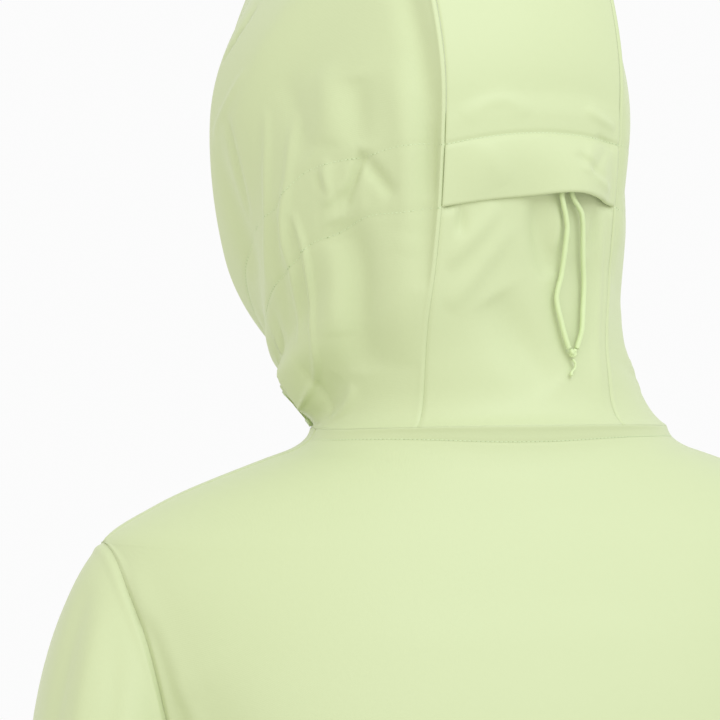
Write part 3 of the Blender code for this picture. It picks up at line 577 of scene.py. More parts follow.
def tubeAlong(name, line, radiusAt, sides, closed=False):
    # a mesh tube whose cross-sections don't twist; radiusAt(angle, distance) gives its form
    tangents = unit(np.gradient(line, axis=0))
    if closed:
        tangents = unit(np.roll(line, -1, axis=0) - np.roll(line, 1, axis=0))
    distance = np.concatenate([[0], np.cumsum(np.linalg.norm(np.diff(line, axis=0), axis=1))])
    side = unit(np.cross(tangents[0], [0.3, 0.2, 0.9]))
    sidesOf = []
    for tangent in tangents:
        side = unit(side - tangent * (side @ tangent))
        sidesOf.append(side)
    sidesOf = np.array(sidesOf)
    other = np.cross(tangents, sidesOf)
    angle = np.linspace(0, 2 * math.pi, sides, endpoint=False)
    radius = radiusAt(angle[None, :], distance[:, None])
    ring = sidesOf[:, None] * np.cos(angle)[None, :, None] + other[:, None] * np.sin(angle)[None, :, None]
    points = line[:, None] + ring * radius[..., None]
    count = len(line)
    faces = []
    for row in range(count if closed else count - 1):
        here, after = row * sides, (row + 1) % count * sides
        for k in range(sides):
            n = (k + 1) % sides
            faces.append((here + k, here + n, after + n, after + k))
    if not closed:
        faces.append(tuple(range(sides - 1, -1, -1)))
        faces.append(tuple(range((count - 1) * sides, count * sides)))
    mesh = bpy.data.meshes.new(name)
    mesh.from_pydata(points.reshape(-1, 3).tolist(), [], faces)
    mesh.shade_smooth()
    return linked(name, mesh)


def braided(radius, pitch, plaits, depth):
    def form(angle, distance):
        one = np.cos(plaits / 2 * angle + 2 * math.pi * distance / pitch * plaits / 2)
        two = np.cos(plaits / 2 * angle - 2 * math.pi * distance / pitch * plaits / 2)
        return radius * (1 - depth + depth * np.maximum(np.abs(one), np.abs(two)))

    return form


def addKnot():
    # an overhand knot drawn tight
    across, share, stand = drawcord["knotAt"]
    size = drawcord["knotDiameter"] / 2
    middle = besideStrip(across, share, stand, size)
    t = np.linspace(0, 2 * math.pi, 96, endpoint=False)
    thick = size * drawcord["knotThick"]
    reach = (size - thick) / 3
    loop = stacked(
        reach * (np.sin(t) + 2 * np.sin(2 * t)),
        reach * drawcord["knotFlat"] * np.sin(3 * t),
        reach * (np.cos(t) - 2 * np.cos(2 * t)),
    )
    spin = np.array(Matrix.Rotation(math.radians(drawcord["knotTurn"]), 3, "Z"))
    form = braided(thick, drawcord["plaitPitch"], drawcord["plaits"], drawcord["plaitDepth"])
    return tubeAlong("drawcordKnot", middle + loop @ spin.T, form, 14, closed=True)


def addTail():
    line = cordLine(tailRoute, drawcord["tailDiameter"] / 2, 70)
    thin, bulb = drawcord["tailDiameter"] / 2, drawcord["bulbDiameter"] / 2
    whole = lineLength(line)

    def form(angle, distance):
        swell = np.exp(-(((distance - whole + drawcord["bulbBack"]) / drawcord["bulbLong"]) ** 2))
        end = np.sqrt(np.clip((whole - distance) / drawcord["bulbLong"], 0.02, 1))
        twist = 1 + drawcord["tailTwist"] * np.cos(3 * angle + distance * 2 * math.pi / drawcord["tailPitch"])
        return (thin + (bulb - thin) * swell) * end * twist

    return tubeAlong("drawcordTail", line, form, 12)


def addDrawcord():
    radius = drawcord["diameter"] / 2
    form = braided(radius, drawcord["plaitPitch"], drawcord["plaits"], drawcord["plaitDepth"])
    knot, tail = addKnot(), addTail()
    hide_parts("drawcord_knot")
    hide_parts("drawcord_tail")
    made = [knot, tail]
    for name, route in cordRoutes.items():
        line = cordLine(route, radius, drawcord["rings"])
        strand = tubeAlong(name, line, form, drawcord["sides"])
        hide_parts("drawcord_left" if name.endswith("Left") else "drawcord_right")
        made.append(strand)
    for piece in made:
        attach(piece, "jacket")
    return made


cordPieces = addDrawcord()
print("drawcord ready")


# finishes


def startFinish(name, look, roughness, **sockets):
    made = bpy.data.materials.new(name)
    made.use_nodes = True
    tree = made.node_tree
    shader = tree.nodes["Principled BSDF"]
    shader.inputs["Base Color"].default_value = (*look["colour"], 1)
    shader.inputs["Roughness"].default_value = roughness
    for socket, value in sockets.items():
        shader.inputs[socket.replace("_", " ")].default_value = value
    return made, tree, shader, addNode(tree, "ShaderNodeTexCoord").outputs["Object"]


def addNode(tree, kind, settings=None, **inputs):
    node = tree.nodes.new(kind)
    for key, value in (settings or {}).items():
        setattr(node, key, value)
    for key, value in inputs.items():
        socket = node.inputs[key.replace("_", " ")]
        if isinstance(value, bpy.types.NodeSocket):
            tree.links.new(value, socket)
        else:
            socket.default_value = value
    return node


def noise(tree, coords, scale, detail):
    return addNode(tree, "ShaderNodeTexNoise", None, Vector=coords, Scale=scale, Detail=detail).outputs["Fac"]


def wave(tree, coords, scale, direction, distortion=0.0):
    settings = {"wave_type": "BANDS", "bands_direction": direction}
    node = addNode(tree, "ShaderNodeTexWave", settings, Vector=coords, Scale=scale, Distortion=distortion)
    return node.outputs["Fac"]


def maths(tree, operation, one, two):
    node = tree.nodes.new("ShaderNodeMath")
    node.operation = operation
    for socket, value in zip(node.inputs, (one, two)):
        if isinstance(value, bpy.types.NodeSocket):
            tree.links.new(value, socket)
        else:
            socket.default_value = value
    return node.outputs[0]


def between(tree, value, low, high):
    node = addNode(tree, "ShaderNodeMapRange", None, Value=value)
    node.inputs["To Min"].default_value = low
    node.inputs["To Max"].default_value = high
    return node.outputs["Result"]


def mixColour(tree, factor, one, two):
    node = tree.nodes.new("ShaderNodeMix")
    node.data_type = "RGBA"
    tree.links.new(factor, node.inputs["Factor"])
    # the colour sockets come after the float and vector ones of the same names
    colours = [socket for socket in node.inputs if socket.type == "RGBA"]
    colours[0].default_value = (*one, 1)
    colours[1].default_value = (*two, 1)
    return [socket for socket in node.outputs if socket.type == "RGBA"][0]


def tint(tree, shader, factor, look):
    tree.links.new(mixColour(tree, factor, look["colour"], look["other"]), shader.inputs["Base Color"])


def bumpOf(tree, shader, *layers):
    normal = None
    for height, strength, distance in layers:
        node = addNode(tree, "ShaderNodeBump", None, Height=height, Strength=strength, Distance=distance)
        if normal is not None:
            tree.links.new(normal, node.inputs["Normal"])
        normal = node.outputs["Normal"]
    tree.links.new(normal, shader.inputs["Normal"])


shellLook = {
    "colour": (0.512, 0.578, 0.312),
    "other": (0.540, 0.600, 0.340),
    "roughness": (0.50, 0.60),
    "twill": 700,  # a scale that gives ribs about 0.45 mm apart
    "grain": 2400,
    "mottle": 300,
    "cloud": 7,
    "cloudShare": 0.7,
}
backingLook = {"colour": (0.56, 0.66, 0.38), "other": (0.51, 0.62, 0.33), "loop": 330}
threadLook = {"colour": (0.56, 0.66, 0.38), "other": (0.61, 0.70, 0.44)}
# the dark discs at the needle holes: painted shade of the holes
holeShadeLook = {"colour": (0.36, 0.44, 0.20), "other": (0.30, 0.38, 0.17)}
cordLook = {"colour": (0.54, 0.64, 0.31), "other": (0.59, 0.69, 0.37)}
tapeLook = {"colour": (0.48, 0.59, 0.29), "other": (0.53, 0.63, 0.34), "rib": 520}
teethLook = {"colour": (0.50, 0.61, 0.30), "other": (0.54, 0.64, 0.34)}
metalLook = {"colour": (0.47, 0.58, 0.27), "other": (0.51, 0.61, 0.31)}


def shellFinish():
    made, tree, shader, coords = startFinish(
        "limeSoftshell", shellLook, 0.55, Sheen_Weight=0.18, Sheen_Roughness=0.45, Specular_IOR_Level=0.38
    )
    cloud = noise(tree, coords, shellLook["cloud"], 3)
    mottle = noise(tree, coords, shellLook["mottle"], 2)
    grain = noise(tree, coords, shellLook["grain"], 1)
    clouds = maths(tree, "MULTIPLY", cloud, shellLook["cloudShare"])
    mottles = maths(tree, "MULTIPLY", mottle, 1 - shellLook["cloudShare"])
    tint(tree, shader, maths(tree, "ADD", clouds, mottles), shellLook)
    tree.links.new(between(tree, mottle, *shellLook["roughness"]), shader.inputs["Roughness"])
    twill = wave(tree, coords, shellLook["twill"], "DIAGONAL", 0.4)
    bumpOf(tree, shader, (mottle, 0.10, 0.0006), (twill, 0.16, 0.00012), (grain, 0.14, 0.00015))
    return made


def backingFinish():
    made, tree, shader, coords = startFinish(
        "limeBacking", backingLook, 0.92, Sheen_Weight=0.45, Sheen_Roughness=0.6, Specular_IOR_Level=0.2
    )
    loops = maths(tree, "MULTIPLY", *(wave(tree, coords, backingLook["loop"], way, 1.0) for way in "XZ"))
    fuzz = noise(tree, coords, 900, 3)
    tint(tree, shader, fuzz, backingLook)
    bumpOf(tree, shader, (loops, 0.5, 0.0003), (fuzz, 0.4, 0.0003))
    return made


def threadFinish():
    made, tree, shader, coords = startFinish("limeThread", threadLook, 0.5, Specular_IOR_Level=0.4)
    twist = wave(tree, coords, 900, "DIAGONAL", 0.0)
    tint(tree, shader, twist, threadLook)
    bumpOf(tree, shader, (twist, 0.4, 0.0001))
    return made


def cordFinish():
    made, tree, shader, coords = startFinish(
        "limeCord", cordLook, 0.6, Sheen_Weight=0.2, Specular_IOR_Level=0.35
    )
    fibre = noise(tree, coords, 1500, 3)
    patch = noise(tree, coords, 60, 2)
    tint(tree, shader, patch, cordLook)
    tree.links.new(between(tree, fibre, 0.52, 0.7), shader.inputs["Roughness"])
    bumpOf(tree, shader, (fibre, 0.35, 0.0002))
    return made


def tapeFinish():
    made, tree, shader, coords = startFinish(
        "limeZipTape", tapeLook, 0.75, Sheen_Weight=0.1, Specular_IOR_Level=0.3
    )
    rib = maths(tree, "MULTIPLY", *(wave(tree, coords, tapeLook["rib"], way) for way in "ZX"))
    tint(tree, shader, rib, tapeLook)
    bumpOf(tree, shader, (rib, 0.5, 0.0002))
    return made


def hardFinish(name, look, roughness, scuff, **sockets):
    made, tree, shader, coords = startFinish(name, look, roughness, **sockets)
    cloudy = noise(tree, coords, 260, 3)
    tint(tree, shader, cloudy, look)
    tree.links.new(between(tree, cloudy, roughness - 0.05, roughness + 0.08), shader.inputs["Roughness"])
    bumpOf(tree, shader, (noise(tree, coords, 1800, 2), scuff, 0.0001))
    return made


shellMaterial = shellFinish()
backingMaterial = backingFinish()
threadMaterial = threadFinish()
# painted shade for the needle holes
holeShadeMaterial = hardFinish("limeNeedleHoleShade", holeShadeLook, 0.8, 0.05)
cordMaterial = cordFinish()
tapeMaterial = tapeFinish()
teethMaterial = hardFinish("limeZipTeeth", teethLook, 0.38, 0.1, Specular_IOR_Level=0.5)
metalMaterial = hardFinish(
    "limeLacquer", metalLook, 0.30, 0.06, Metallic=0.15, Coat_Weight=0.5, Coat_Roughness=0.15
)
for piece in cordPieces:
    piece.data.materials.append(cordMaterial)
print("finishes ready")


# folds, seams and stitch lines on a surface

relief = {"foldReach": 3.2, "lineReach": 3, "foldEnds": 0.6}  # reaches in widths


def foldRows(rows):  # their last two numbers are in millimetres
    made = columns("fromAcross fromAlong byAcross byAlong toAcross toAlong width height", rows)
    made["width"], made["height"] = made["width"] / 1000, made["height"] / 1000
    return made


def distanceToLine(points, line):
    start, step = line[:-1], np.diff(line, axis=0)
    gap = points[..., None, :] - start
    t = np.clip((gap * step).sum(-1) / (step**2).sum(-1), 0, 1)
    apart = np.linalg.norm(gap - t[..., None] * step, axis=-1)
    nearest = apart.argmin(axis=-1)[..., None]
    along = (nearest + np.take_along_axis(t, nearest, -1)) / len(step)
    return np.take_along_axis(apart, nearest, -1)[..., 0], along[..., 0]


def foldHeights(points, surface, folds):
    t = np.linspace(0, 1, 9)
    start, middle, end = (1 - t) * (1 - 2 * t), 4 * t * (1 - t), t * (2 * t - 1)
    flatPoints = points.reshape(-1, 3)
    raised = np.zeros(len(flatPoints))
    for i in range(len(folds["width"])):
        fold = {name: values[i] for name, values in folds.items()}
        across = fold["fromAcross"] * start + fold["byAcross"] * middle + fold["toAcross"] * end
        along = fold["fromAlong"] * start + fold["byAlong"] * middle + fold["toAlong"] * end
        line = surface(across, along)
        reach = relief["foldReach"] * fold["width"]
        low, high = line.min(axis=0) - reach, line.max(axis=0) + reach
        near = np.all((flatPoints > low) & (flatPoints < high), axis=1)
        if not near.any():
            continue
        apart, place = distanceToLine(flatPoints[near], line)
        fade = np.clip(4 * place * (1 - place), 0, 1) ** relief["foldEnds"]
        raised[near] += fold["height"] * np.exp(-((apart / fold["width"]) ** 2)) * fade
    return raised.reshape(points.shape[:-1])


seamRound = {"height": 0.0007, "at": 0.0034, "width": 0.0022, "fadeLow": 0.012, "fadeHigh": 0.006}
ridgeFade = {"from": 0.12, "over": 0.2, "least": 0.2}


def seam(along, at, dip, dipWidth=0.0012, **more):
    return {"along": along, "at": at, "dip": dip, "dipWidth": dipWidth, **more}


def sunkLine(route, depth, width):
    return {"route": route, "depth": depth, "width": width}


def bump(apart, at, width):
    return np.exp(-(((apart - at) / width) ** 2))


def seamHeights(points, surface, seams, across, along):
    # each seam dips at the join and may have a ridge or a raised allowance beside it
    raised = np.zeros(points.shape[:-1])
    for one in seams:
        fixed = np.full(points.shape[:-1], one["at"], float)
        edge = surface(fixed, along) if one["along"] == "rows" else surface(across, fixed)
        apart = np.linalg.norm(points - edge, axis=-1)
        dip = one["dip"] * bump(apart, 0, one["dipWidth"])
        if "notBetween" in one:  # there it only rounds its edge
            low, high = one["notBetween"]
            inside = ease((along - low + seamRound["fadeLow"]) / seamRound["fadeLow"])
            inside = inside * ease((high + seamRound["fadeHigh"] - along) / seamRound["fadeHigh"])
            raised += inside * seamRound["height"] * bump(apart, seamRound["at"], seamRound["width"])
            dip = dip * (1 - inside)
        raised -= dip
        if "ridge" in one:
            ridge = one["ridge"] * bump(apart, one["ridgeAt"], one["ridgeWidth"])
            if "fades" in one:  # towards the neck
                grown = ease((along - ridgeFade["from"]) / ridgeFade["over"])
                ridge = ridge * (ridgeFade["least"] + (1 - ridgeFade["least"]) * grown)
            raised += ridge
        if "allowance" in one:
            rise = ease(apart / 0.0015) * (1 - ease((apart - one["allowance"] + 0.001) / 0.0025))
            raised += one["allowanceHeight"] * rise
    return raised


def lineHeights(points, surface, lines):
    # a stitched line pulls the cloth in
    flatPoints = points.reshape(-1, 3)
    raised = np.zeros(len(flatPoints))
    for line in lines:
        route = surface(*line["route"]())
        reach = relief["lineReach"] * line["width"]
        low, high = route.min(axis=0) - reach, route.max(axis=0) + reach
        near = np.all((flatPoints > low) & (flatPoints < high), axis=1)
        if near.any():
            apart, _ = distanceToLine(flatPoints[near], route)
            raised[near] -= line["depth"] * np.exp(-((apart / line["width"]) ** 2))
    return raised.reshape(points.shape[:-1])


def clothPoint(piece, across, along, out=0.0):
    # the outer face of a piece with all its relief
    across, along = np.broadcast_arrays(np.asarray(across, float), np.asarray(along, float))
    surface = piece["surface"]
    points = surface(across, along)
    raised = foldHeights(points, surface, piece["folds"]) * piece["flat"](across, along)
    raised += seamHeights(points, surface, piece["seams"], across, along)
    raised += lineHeights(points, surface, piece["lines"])
    if "extra" in piece:
        raised += piece["extra"](across, along)
    placed = points + surfaceNormal(surface, across, along) * (raised + out)[..., None]
    return placed + neckShift(piece["neck"], across, points) if "neck" in piece else placed


def clothGrid(piece, across, along):
    columnsOf, rowsOf = np.meshgrid(np.array(across, float), np.array(along, float))
    return clothPoint(piece, columnsOf, rowsOf)


def gridNormals(points, closed=False):
    if closed:
        wrapped = np.concatenate([points[:, -1:], points, points[:, :1]], axis=1)
        over = np.gradient(wrapped, axis=1)[:, 1:-1]
    else:
        over = np.gradient(points, axis=1)
    return unit(np.cross(np.gradient(points, axis=0), over))


def turnedHem(edge, inner, normals, innerNormals, beyond):
    # rows from the edge round a small fold, then back along the inside
    turn = cloth["hemTurn"]
    middle = edge - normals * turn
    angles = np.linspace(0, math.pi, 7)[1:]
    rows = [middle + turn * (normals * math.cos(angle) + beyond * math.sin(angle)) for angle in angles]
    rows += [row - 2 * turn * side for row, side in zip(inner, innerNormals)]
    return np.array(rows)


def meshOf(name, grids, faceMaterial, backMaterial=None, wall=None):
    # grids of outer points, welded where they meet, then given the cloth's thickness
    body = bmesh.new()
    for points, closed in grids:
        rows, count = points.shape[:2]
        verts = [body.verts.new(p) for p in points.reshape(-1, 3)]
        for row in range(rows - 1):
            here, above = row * count, (row + 1) * count
            for k in range(count if closed else count - 1):
                n = (k + 1) % count
                body.faces.new((verts[here + k], verts[above + k], verts[above + n], verts[here + n]))
    if len(grids) > 1:
        bmesh.ops.remove_doubles(body, verts=body.verts, dist=0.00002)
    mesh = bpy.data.meshes.new(name)
    body.to_mesh(mesh)
    body.free()
    mesh.shade_smooth()
    made = linked(name, mesh)
    mesh.materials.append(faceMaterial)
    if wall:
        shell = made.modifiers.new("wall", "SOLIDIFY")
        shell.thickness = wall
        shell.offset = -1.0
        if backMaterial:
            mesh.materials.append(backMaterial)
            shell.material_offset = 1
    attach(made, "jacket")
    return made


def spread(start, end, count, fineStart=(), fineEnd=()):
    # even steps, with closer ones at a seam, given as distances from it
    values = list(np.linspace(start, end, count))
    sign, closest = 1 if end > start else -1, 0.0008 * abs(end - start)
    values += [start + sign * d for d in fineStart] + [end - sign * d for d in fineEnd]
    values = sorted(set(round(float(v), 6) for v in values), reverse=end < start)
    kept = [values[0]]
    for value in values[1:]:
        if abs(value - kept[-1]) > closest or value == values[-1]:
            kept.append(value)
    return kept


print("cloth tools ready")


# cloth pieces

seamFine = (0.004, 0.009, 0.016, 0.025, 0.038, 0.055)
armhole = (bodyForm["armholeBottom"], bodyForm["armholeTop"])


def belowNeck(height):
    return ease((bodyForm["neckHeight"] - height) / 0.06)


# "flat" is how much of its folds a piece shows: none at its seams
backPiece = {
    "surface": backPoint,
    "neck": "body",
    "flat": lambda across, height: ease((2 - np.abs(across)) / 0.12) * belowNeck(height),
    "folds": foldRows([
        (-1.75, -0.3, -1.1, -0.37, -0.3, -0.405, 26, -5.6),
        (1.8, -0.285, 1.25, -0.35, 0.7, -0.44, 24, -6.3),
        (1.6, -0.41, 1.2, -0.455, 0.4, -0.5, 28, 6.3),
        (-1.55, -0.45, -1, -0.475, -0.4, -0.455, 26, 5.6),
        (1.7, -0.13, 1.45, -0.18, 1.05, -0.26, 24, -3.5),
        (-1.7, -0.15, -1.4, -0.21, -1.15, -0.27, 24, -3.5),
        # narrower ones from the side seams
        (1.97, -0.24, 1.82, -0.3, 1.5, -0.35, 10, 3),
        (1.96, -0.27, 1.78, -0.345, 1.45, -0.4, 9, -3.2),
        (-1.97, -0.245, -1.8, -0.31, -1.55, -0.345, 10, 3),
        (-1.96, -0.28, -1.76, -0.355, -1.4, -0.42, 9, -3),
        (0.35, -0.38, 0.1, -0.4, -0.3, -0.385, 12, -2.6),
        (-0.6, -0.56, -0.1, -0.59, 0.5, -0.57, 13, 2.6),
        # soft folds beside the armholes
        (1.94, -0.066, 1.88, -0.105, 1.72, -0.165, 9, 2.4),
        (1.93, -0.092, 1.87, -0.122, 1.76, -0.185, 6, -2.2),
        (-1.94, -0.072, -1.86, -0.112, -1.74, -0.16, 10, 2.4),
        (-1.92, -0.1, -1.86, -0.13, -1.77, -0.175, 6, -2),
    ]),
    "seams": [
        seam("rows", 2.0, 0.0011, 0.0014, notBetween=armhole),
        seam("rows", -2.0, 0.0011, 0.0014, notBetween=armhole),
        seam("columns", bodyForm["neckHeight"], 0.0002, allowance=0.008, allowanceHeight=0.0003),
    ],
    "stitchDown": 0.0085,  # below the neck seam
    "hemDepth": 0.022,
    "flatSize": (0.57, 0.85),
    "area": 0.365,
}
frontPiece = {
    "surface": frontPoint,
    "neck": "body",
    "flat": lambda across, height: ease((across - 2) / 0.1) * ease((3 - across) / 0.3) * belowNeck(height),
    "folds": foldRows([
        (2.15, -0.29, 2.35, -0.34, 2.62, -0.43, 24, -7.1),
        (2.18, -0.42, 2.4, -0.47, 2.66, -0.49, 26, 7.1),
        (2.22, -0.14, 2.34, -0.19, 2.48, -0.28, 22, -5.9),
        (2.1, -0.09, 2.2, -0.13, 2.4, -0.165, 11, 3),
        (2.04, -0.235, 2.2, -0.3, 2.5, -0.35, 10, 3.4),
        (2.03, -0.262, 2.16, -0.345, 2.42, -0.41, 9, -3.4),
        (2.05, -0.12, 2.14, -0.17, 2.2, -0.225, 9, -3),
        (2.08, -0.47, 2.3, -0.5, 2.55, -0.56, 11, 3),
        (2.85, -0.2, 2.7, -0.26, 2.62, -0.35, 12, 2.8),
        (2.95, -0.33, 2.8, -0.37, 2.55, -0.38, 13, 3.4),
        (2.9, -0.52, 2.7, -0.56, 2.3, -0.575, 16, -3.6),
    ]),
    "seams": [
        seam("rows", 2.0, 0.0011, 0.0014, notBetween=armhole),
        seam("rows", 4.0, 0.0004, 0.001),
        seam("columns", bodyForm["neckHeight"], 0.0002, 0.0012),
    ],
    "zipStitch": 0.0065,  # from the front's edge
    "hemUntil": 2.96,
    "hemDepth": 0.022,
    "flatSize": (0.285, 0.85),
    "area": 0.180,
}
sleevePiece = {
    "surface": sleeveSurface,
    "flat": lambda turn, share: ease(share / 0.12),
    "folds": foldRows([
        (-0.15, 0.48, 0.15, 0.52, 0.5, 0.5, 17, -6),  # the crook of the elbow
        (-0.25, 0.58, 0.1, 0.6, 0.45, 0.62, 18, -5.7),
        (-0.55, 0.36, -0.2, 0.43, 0.05, 0.445, 19, 5.4),
        (-0.6, 0.18, -0.42, 0.27, -0.3, 0.36, 18, -5.4),
        (-0.9, 0.64, -0.6, 0.71, -0.2, 0.73, 20, 5.1),
        (0.35, 0.79, 0.05, 0.83, -0.4, 0.85, 18, -5.1),
        # narrow creases at the elbow and the cuff
        (0.05, 0.47, 0.35, 0.5, 0.7, 0.47, 8.5, -3.4),
        (0, 0.515, 0.3, 0.545, 0.62, 0.54, 8, 2.8),
        (-0.1, 0.56, 0.25, 0.585, 0.58, 0.6, 9, -3.6),
        (0.1, 0.625, 0.35, 0.64, 0.66, 0.615, 8.5, 2.6),
        (-0.3, 0.5, -0.12, 0.53, 0.02, 0.56, 8, -2.6),
        (-0.62, 0.56, -0.4, 0.6, -0.1, 0.61, 10, -2.6),
        (0.3, 0.13, 0.42, 0.22, 0.46, 0.33, 8.5, -3),
        (0.2, 0.76, 0.45, 0.8, 0.8, 0.79, 9, -2.4),
        (-0.15, 0.88, 0.2, 0.9, 0.5, 0.88, 8.5, 2.2),
        # upright folds below the shoulder
        (-0.72, 0.04, -0.64, 0.15, -0.62, 0.3, 6, -2),
        (-0.8, 0.05, -0.74, 0.18, -0.72, 0.34, 6.5, 2),
        (-0.9, 0.07, -0.86, 0.2, -0.84, 0.36, 8, -2.4),
        (0.74, 0.06, 0.66, 0.17, 0.62, 0.32, 6.5, -2),
        (0.86, 0.07, 0.8, 0.2, 0.78, 0.33, 8, 2),
    ]),
    "seams": [
        seam("columns", 0.0, 0, ridge=0.0010, ridgeAt=0.0045, ridgeWidth=0.0026),
        seam("rows", 0.0, 0.0008, 0.0014),
    ],
    "hemDepth": 0.020,
    "flatSize": (0.50, 0.63),
    "area": 0.178,
}
channelTop = columns(
    "across share",
    [(1.0, 0.378), (1.2, 0.427), (1.39, 0.464), (1.585, 0.518), (1.77, 0.573), (2.07, 0.636)]
    + [(2.285, 0.729), (2.6, 0.86), (2.85, 0.965)],
)
channelFoot = columns(
    "across share",
    [(1.0, 0.296), (1.19, 0.328), (1.39, 0.367), (1.59, 0.392), (1.78, 0.437), (1.95, 0.464)]
    + [(2.155, 0.52), (2.5, 0.68), (2.85, 0.86)],
)
hoodFolds = [
    # the cheek and the face opening's edge
    (2, 0.83, 2.14, 0.78, 2.23, 0.73, 3.2, -2.2),
    (2.1, 0.86, 2.27, 0.79, 2.35, 0.7, 11, -3.4),
    (1.46, 0.885, 1.6, 0.885, 1.77, 0.905, 1.7, -2.2),
    (1.8, 0.805, 1.96, 0.837, 2.09, 0.885, 3, 1.4),
    # thin upright ridges below the cheek
    (1.86, 0.545, 1.8, 0.39, 1.67, 0.2, 2.2, 2.6),
    (1.68, 0.215, 1.78, 0.14, 2.2, 0.1, 2.2, 2.2),
    (1.87, 0.61, 1.95, 0.49, 1.82, 0.24, 3, 2),
    (1.86, 0.73, 2.04, 0.655, 2.2, 0.57, 3.4, 2),
    (1.72, 0.66, 1.86, 0.6, 2, 0.49, 3.8, 1.8),
    (1.98, 0.6, 2.06, 0.49, 2, 0.33, 6, -2.2),
    # beside the strip's seam
    (1.1, 0.76, 1.085, 0.47, 1.05, 0.2, 8, -4.2),
    (1.07, 0.425, 1.065, 0.37, 1.06, 0.32, 3.4, -1.6),
    (1.22, 0.56, 1.17, 0.42, 1.14, 0.26, 9.5, 2.2),
    # above the channel
    (1.38, 0.59, 1.4, 0.545, 1.42, 0.49, 9, -2.6),
    (1.52, 0.66, 1.54, 0.6, 1.58, 0.55, 10, 2.2),
    (1.7, 0.72, 1.72, 0.64, 1.7, 0.58, 8, -1.6),
    # V puckers where the channel is drawn up
    (1.41, 0.48, 1.46, 0.455, 1.53, 0.425, 3, -3.4),
    (1.42, 0.478, 1.33, 0.42, 1.22, 0.36, 4, -3.6),
    (1.6, 0.53, 1.63, 0.5, 1.64, 0.46, 4, 2),
    (1.67, 0.535, 1.66, 0.505, 1.63, 0.47, 2.8, -1.5),
    (1.58, 0.46, 1.54, 0.43, 1.5, 0.395, 7, -2.2),
    # below the channel
    (1.55, 0.41, 1.42, 0.27, 1.38, 0.11, 12, -6.6),
    (1.15, 0.29, 1.14, 0.2, 1.11, 0.1, 12, 1.8),
    (1.6, 0.38, 1.55, 0.29, 1.51, 0.19, 10, 2.4),
    (1.52, 0.095, 1.64, 0.055, 2, 0.015, 3.8, 2.2),
    (1.6, 0.12, 1.78, 0.075, 2, 0.045, 7, -1.4),
    # these fill and draw in the hood below the cheek, to bring its outline nearer to the photo's
    (2.62, 0.8, 2.42, 0.48, 2.14, 0.26, 23, 11),
    (1.8, 0.12, 2.08, 0.115, 2.4, 0.11, 16, 9),
    (2.05, 0.22, 2.4, 0.215, 2.84, 0.2, 22, -11.5),
    # the other side, which the photo doesn't show
    (-2.02, 0.83, -2.12, 0.77, -2.24, 0.72, 3.4, -2),
    (-2.12, 0.85, -2.26, 0.78, -2.3, 0.69, 11, -3.2),
    (-1.82, 0.56, -1.78, 0.4, -1.7, 0.22, 2.4, 2.4),
    (-1.9, 0.62, -1.98, 0.48, -1.84, 0.26, 3.2, 2),
    (-1.74, 0.67, -1.88, 0.59, -1.98, 0.47, 4, 1.8),
    (-1.08, 0.52, -1.06, 0.38, -1.04, 0.2, 5.2, -2.8),
    (-1.24, 0.56, -1.18, 0.41, -1.16, 0.27, 10, 2),
    (-1.4, 0.59, -1.43, 0.54, -1.44, 0.48, 9, -2.4),
    (-1.46, 0.48, -1.5, 0.455, -1.56, 0.44, 3, -2.4),
    (-1.44, 0.476, -1.36, 0.425, -1.28, 0.38, 3.6, -2.4),
    (-1.64, 0.53, -1.66, 0.5, -1.65, 0.46, 4, 1.8),
    (-1.54, 0.39, -1.42, 0.26, -1.38, 0.12, 12, -4.2),
    (-1.28, 0.37, -1.32, 0.25, -1.36, 0.1, 24, 5),
    (-1.6, 0.11, -1.74, 0.065, -2, 0.04, 7.5, -2.2),
    # these fill and draw in the hood below the cheek, to bring its outline nearer to the photo's
    (-2.6, 0.78, -2.4, 0.48, -2.12, 0.28, 22, 7),
    (-1.78, 0.12, -2.06, 0.115, -2.38, 0.112, 16, 8.5),
    (-2.05, 0.22, -2.38, 0.215, -2.8, 0.205, 22, -10.5),
]


puckers = {
    "height": 0.00014,
    "metres": 0.13,  # of one unit across
    "shift": 0.031,  # so that the right side differs
    # share, pitch, slant, wander and the wander's pitch
    "waves": (
        (0.55, 0.0150, 2.2, 1.3, 0.037),
        (0.45, 0.0094, -3.1, 2.0, 0.051),
    ),
}


def channelPuckers(across, share):
    # small gathers between the channel's two stitched lines
    place = np.abs(across)
    low = curveAt(channelFoot["across"], channelFoot["share"], place)
    high = curveAt(channelTop["across"], channelTop["share"], place)
    v = np.clip((share - low) / (high - low), 0, 1)
    u = place * puckers["metres"] + np.where(across < 0, puckers["shift"], 0.0)
    ripple = 0
    for part, pitch, slant, wander, wanderPitch in puckers["waves"]:
        wandering = wander * np.sin(2 * np.pi * u / wanderPitch)
        ripple = ripple + part * np.sin(2 * np.pi * u / pitch + slant * v + wandering)
    near = ease((place - 1.02) / 0.1) * (0.45 + 0.55 * ease((2.1 - place) / 0.5)) * ease((2.95 - place) / 0.2)
    return puckers["height"] * ripple * np.sin(np.pi * v) ** 0.8 * near


def channelRoute(line, side):
    def route():
        across = np.linspace(1.0, 2.85, 60)
        return across * side, curveAt(line["across"], line["share"], across)

    return route


def straightRoute(fixed, low, high, byColumn):
    def route():
        along = np.linspace(low, high, 60)
        return (np.full(60, fixed), along) if byColumn else (along, np.full(60, fixed))

    return route


def hoodSideFlat(across, share):
    place = np.abs(across)
    return ease((place - 1) / 0.05) * ease((3 - place) / 0.3) * ease(share / 0.05) * ease((1 - share) / 0.1)


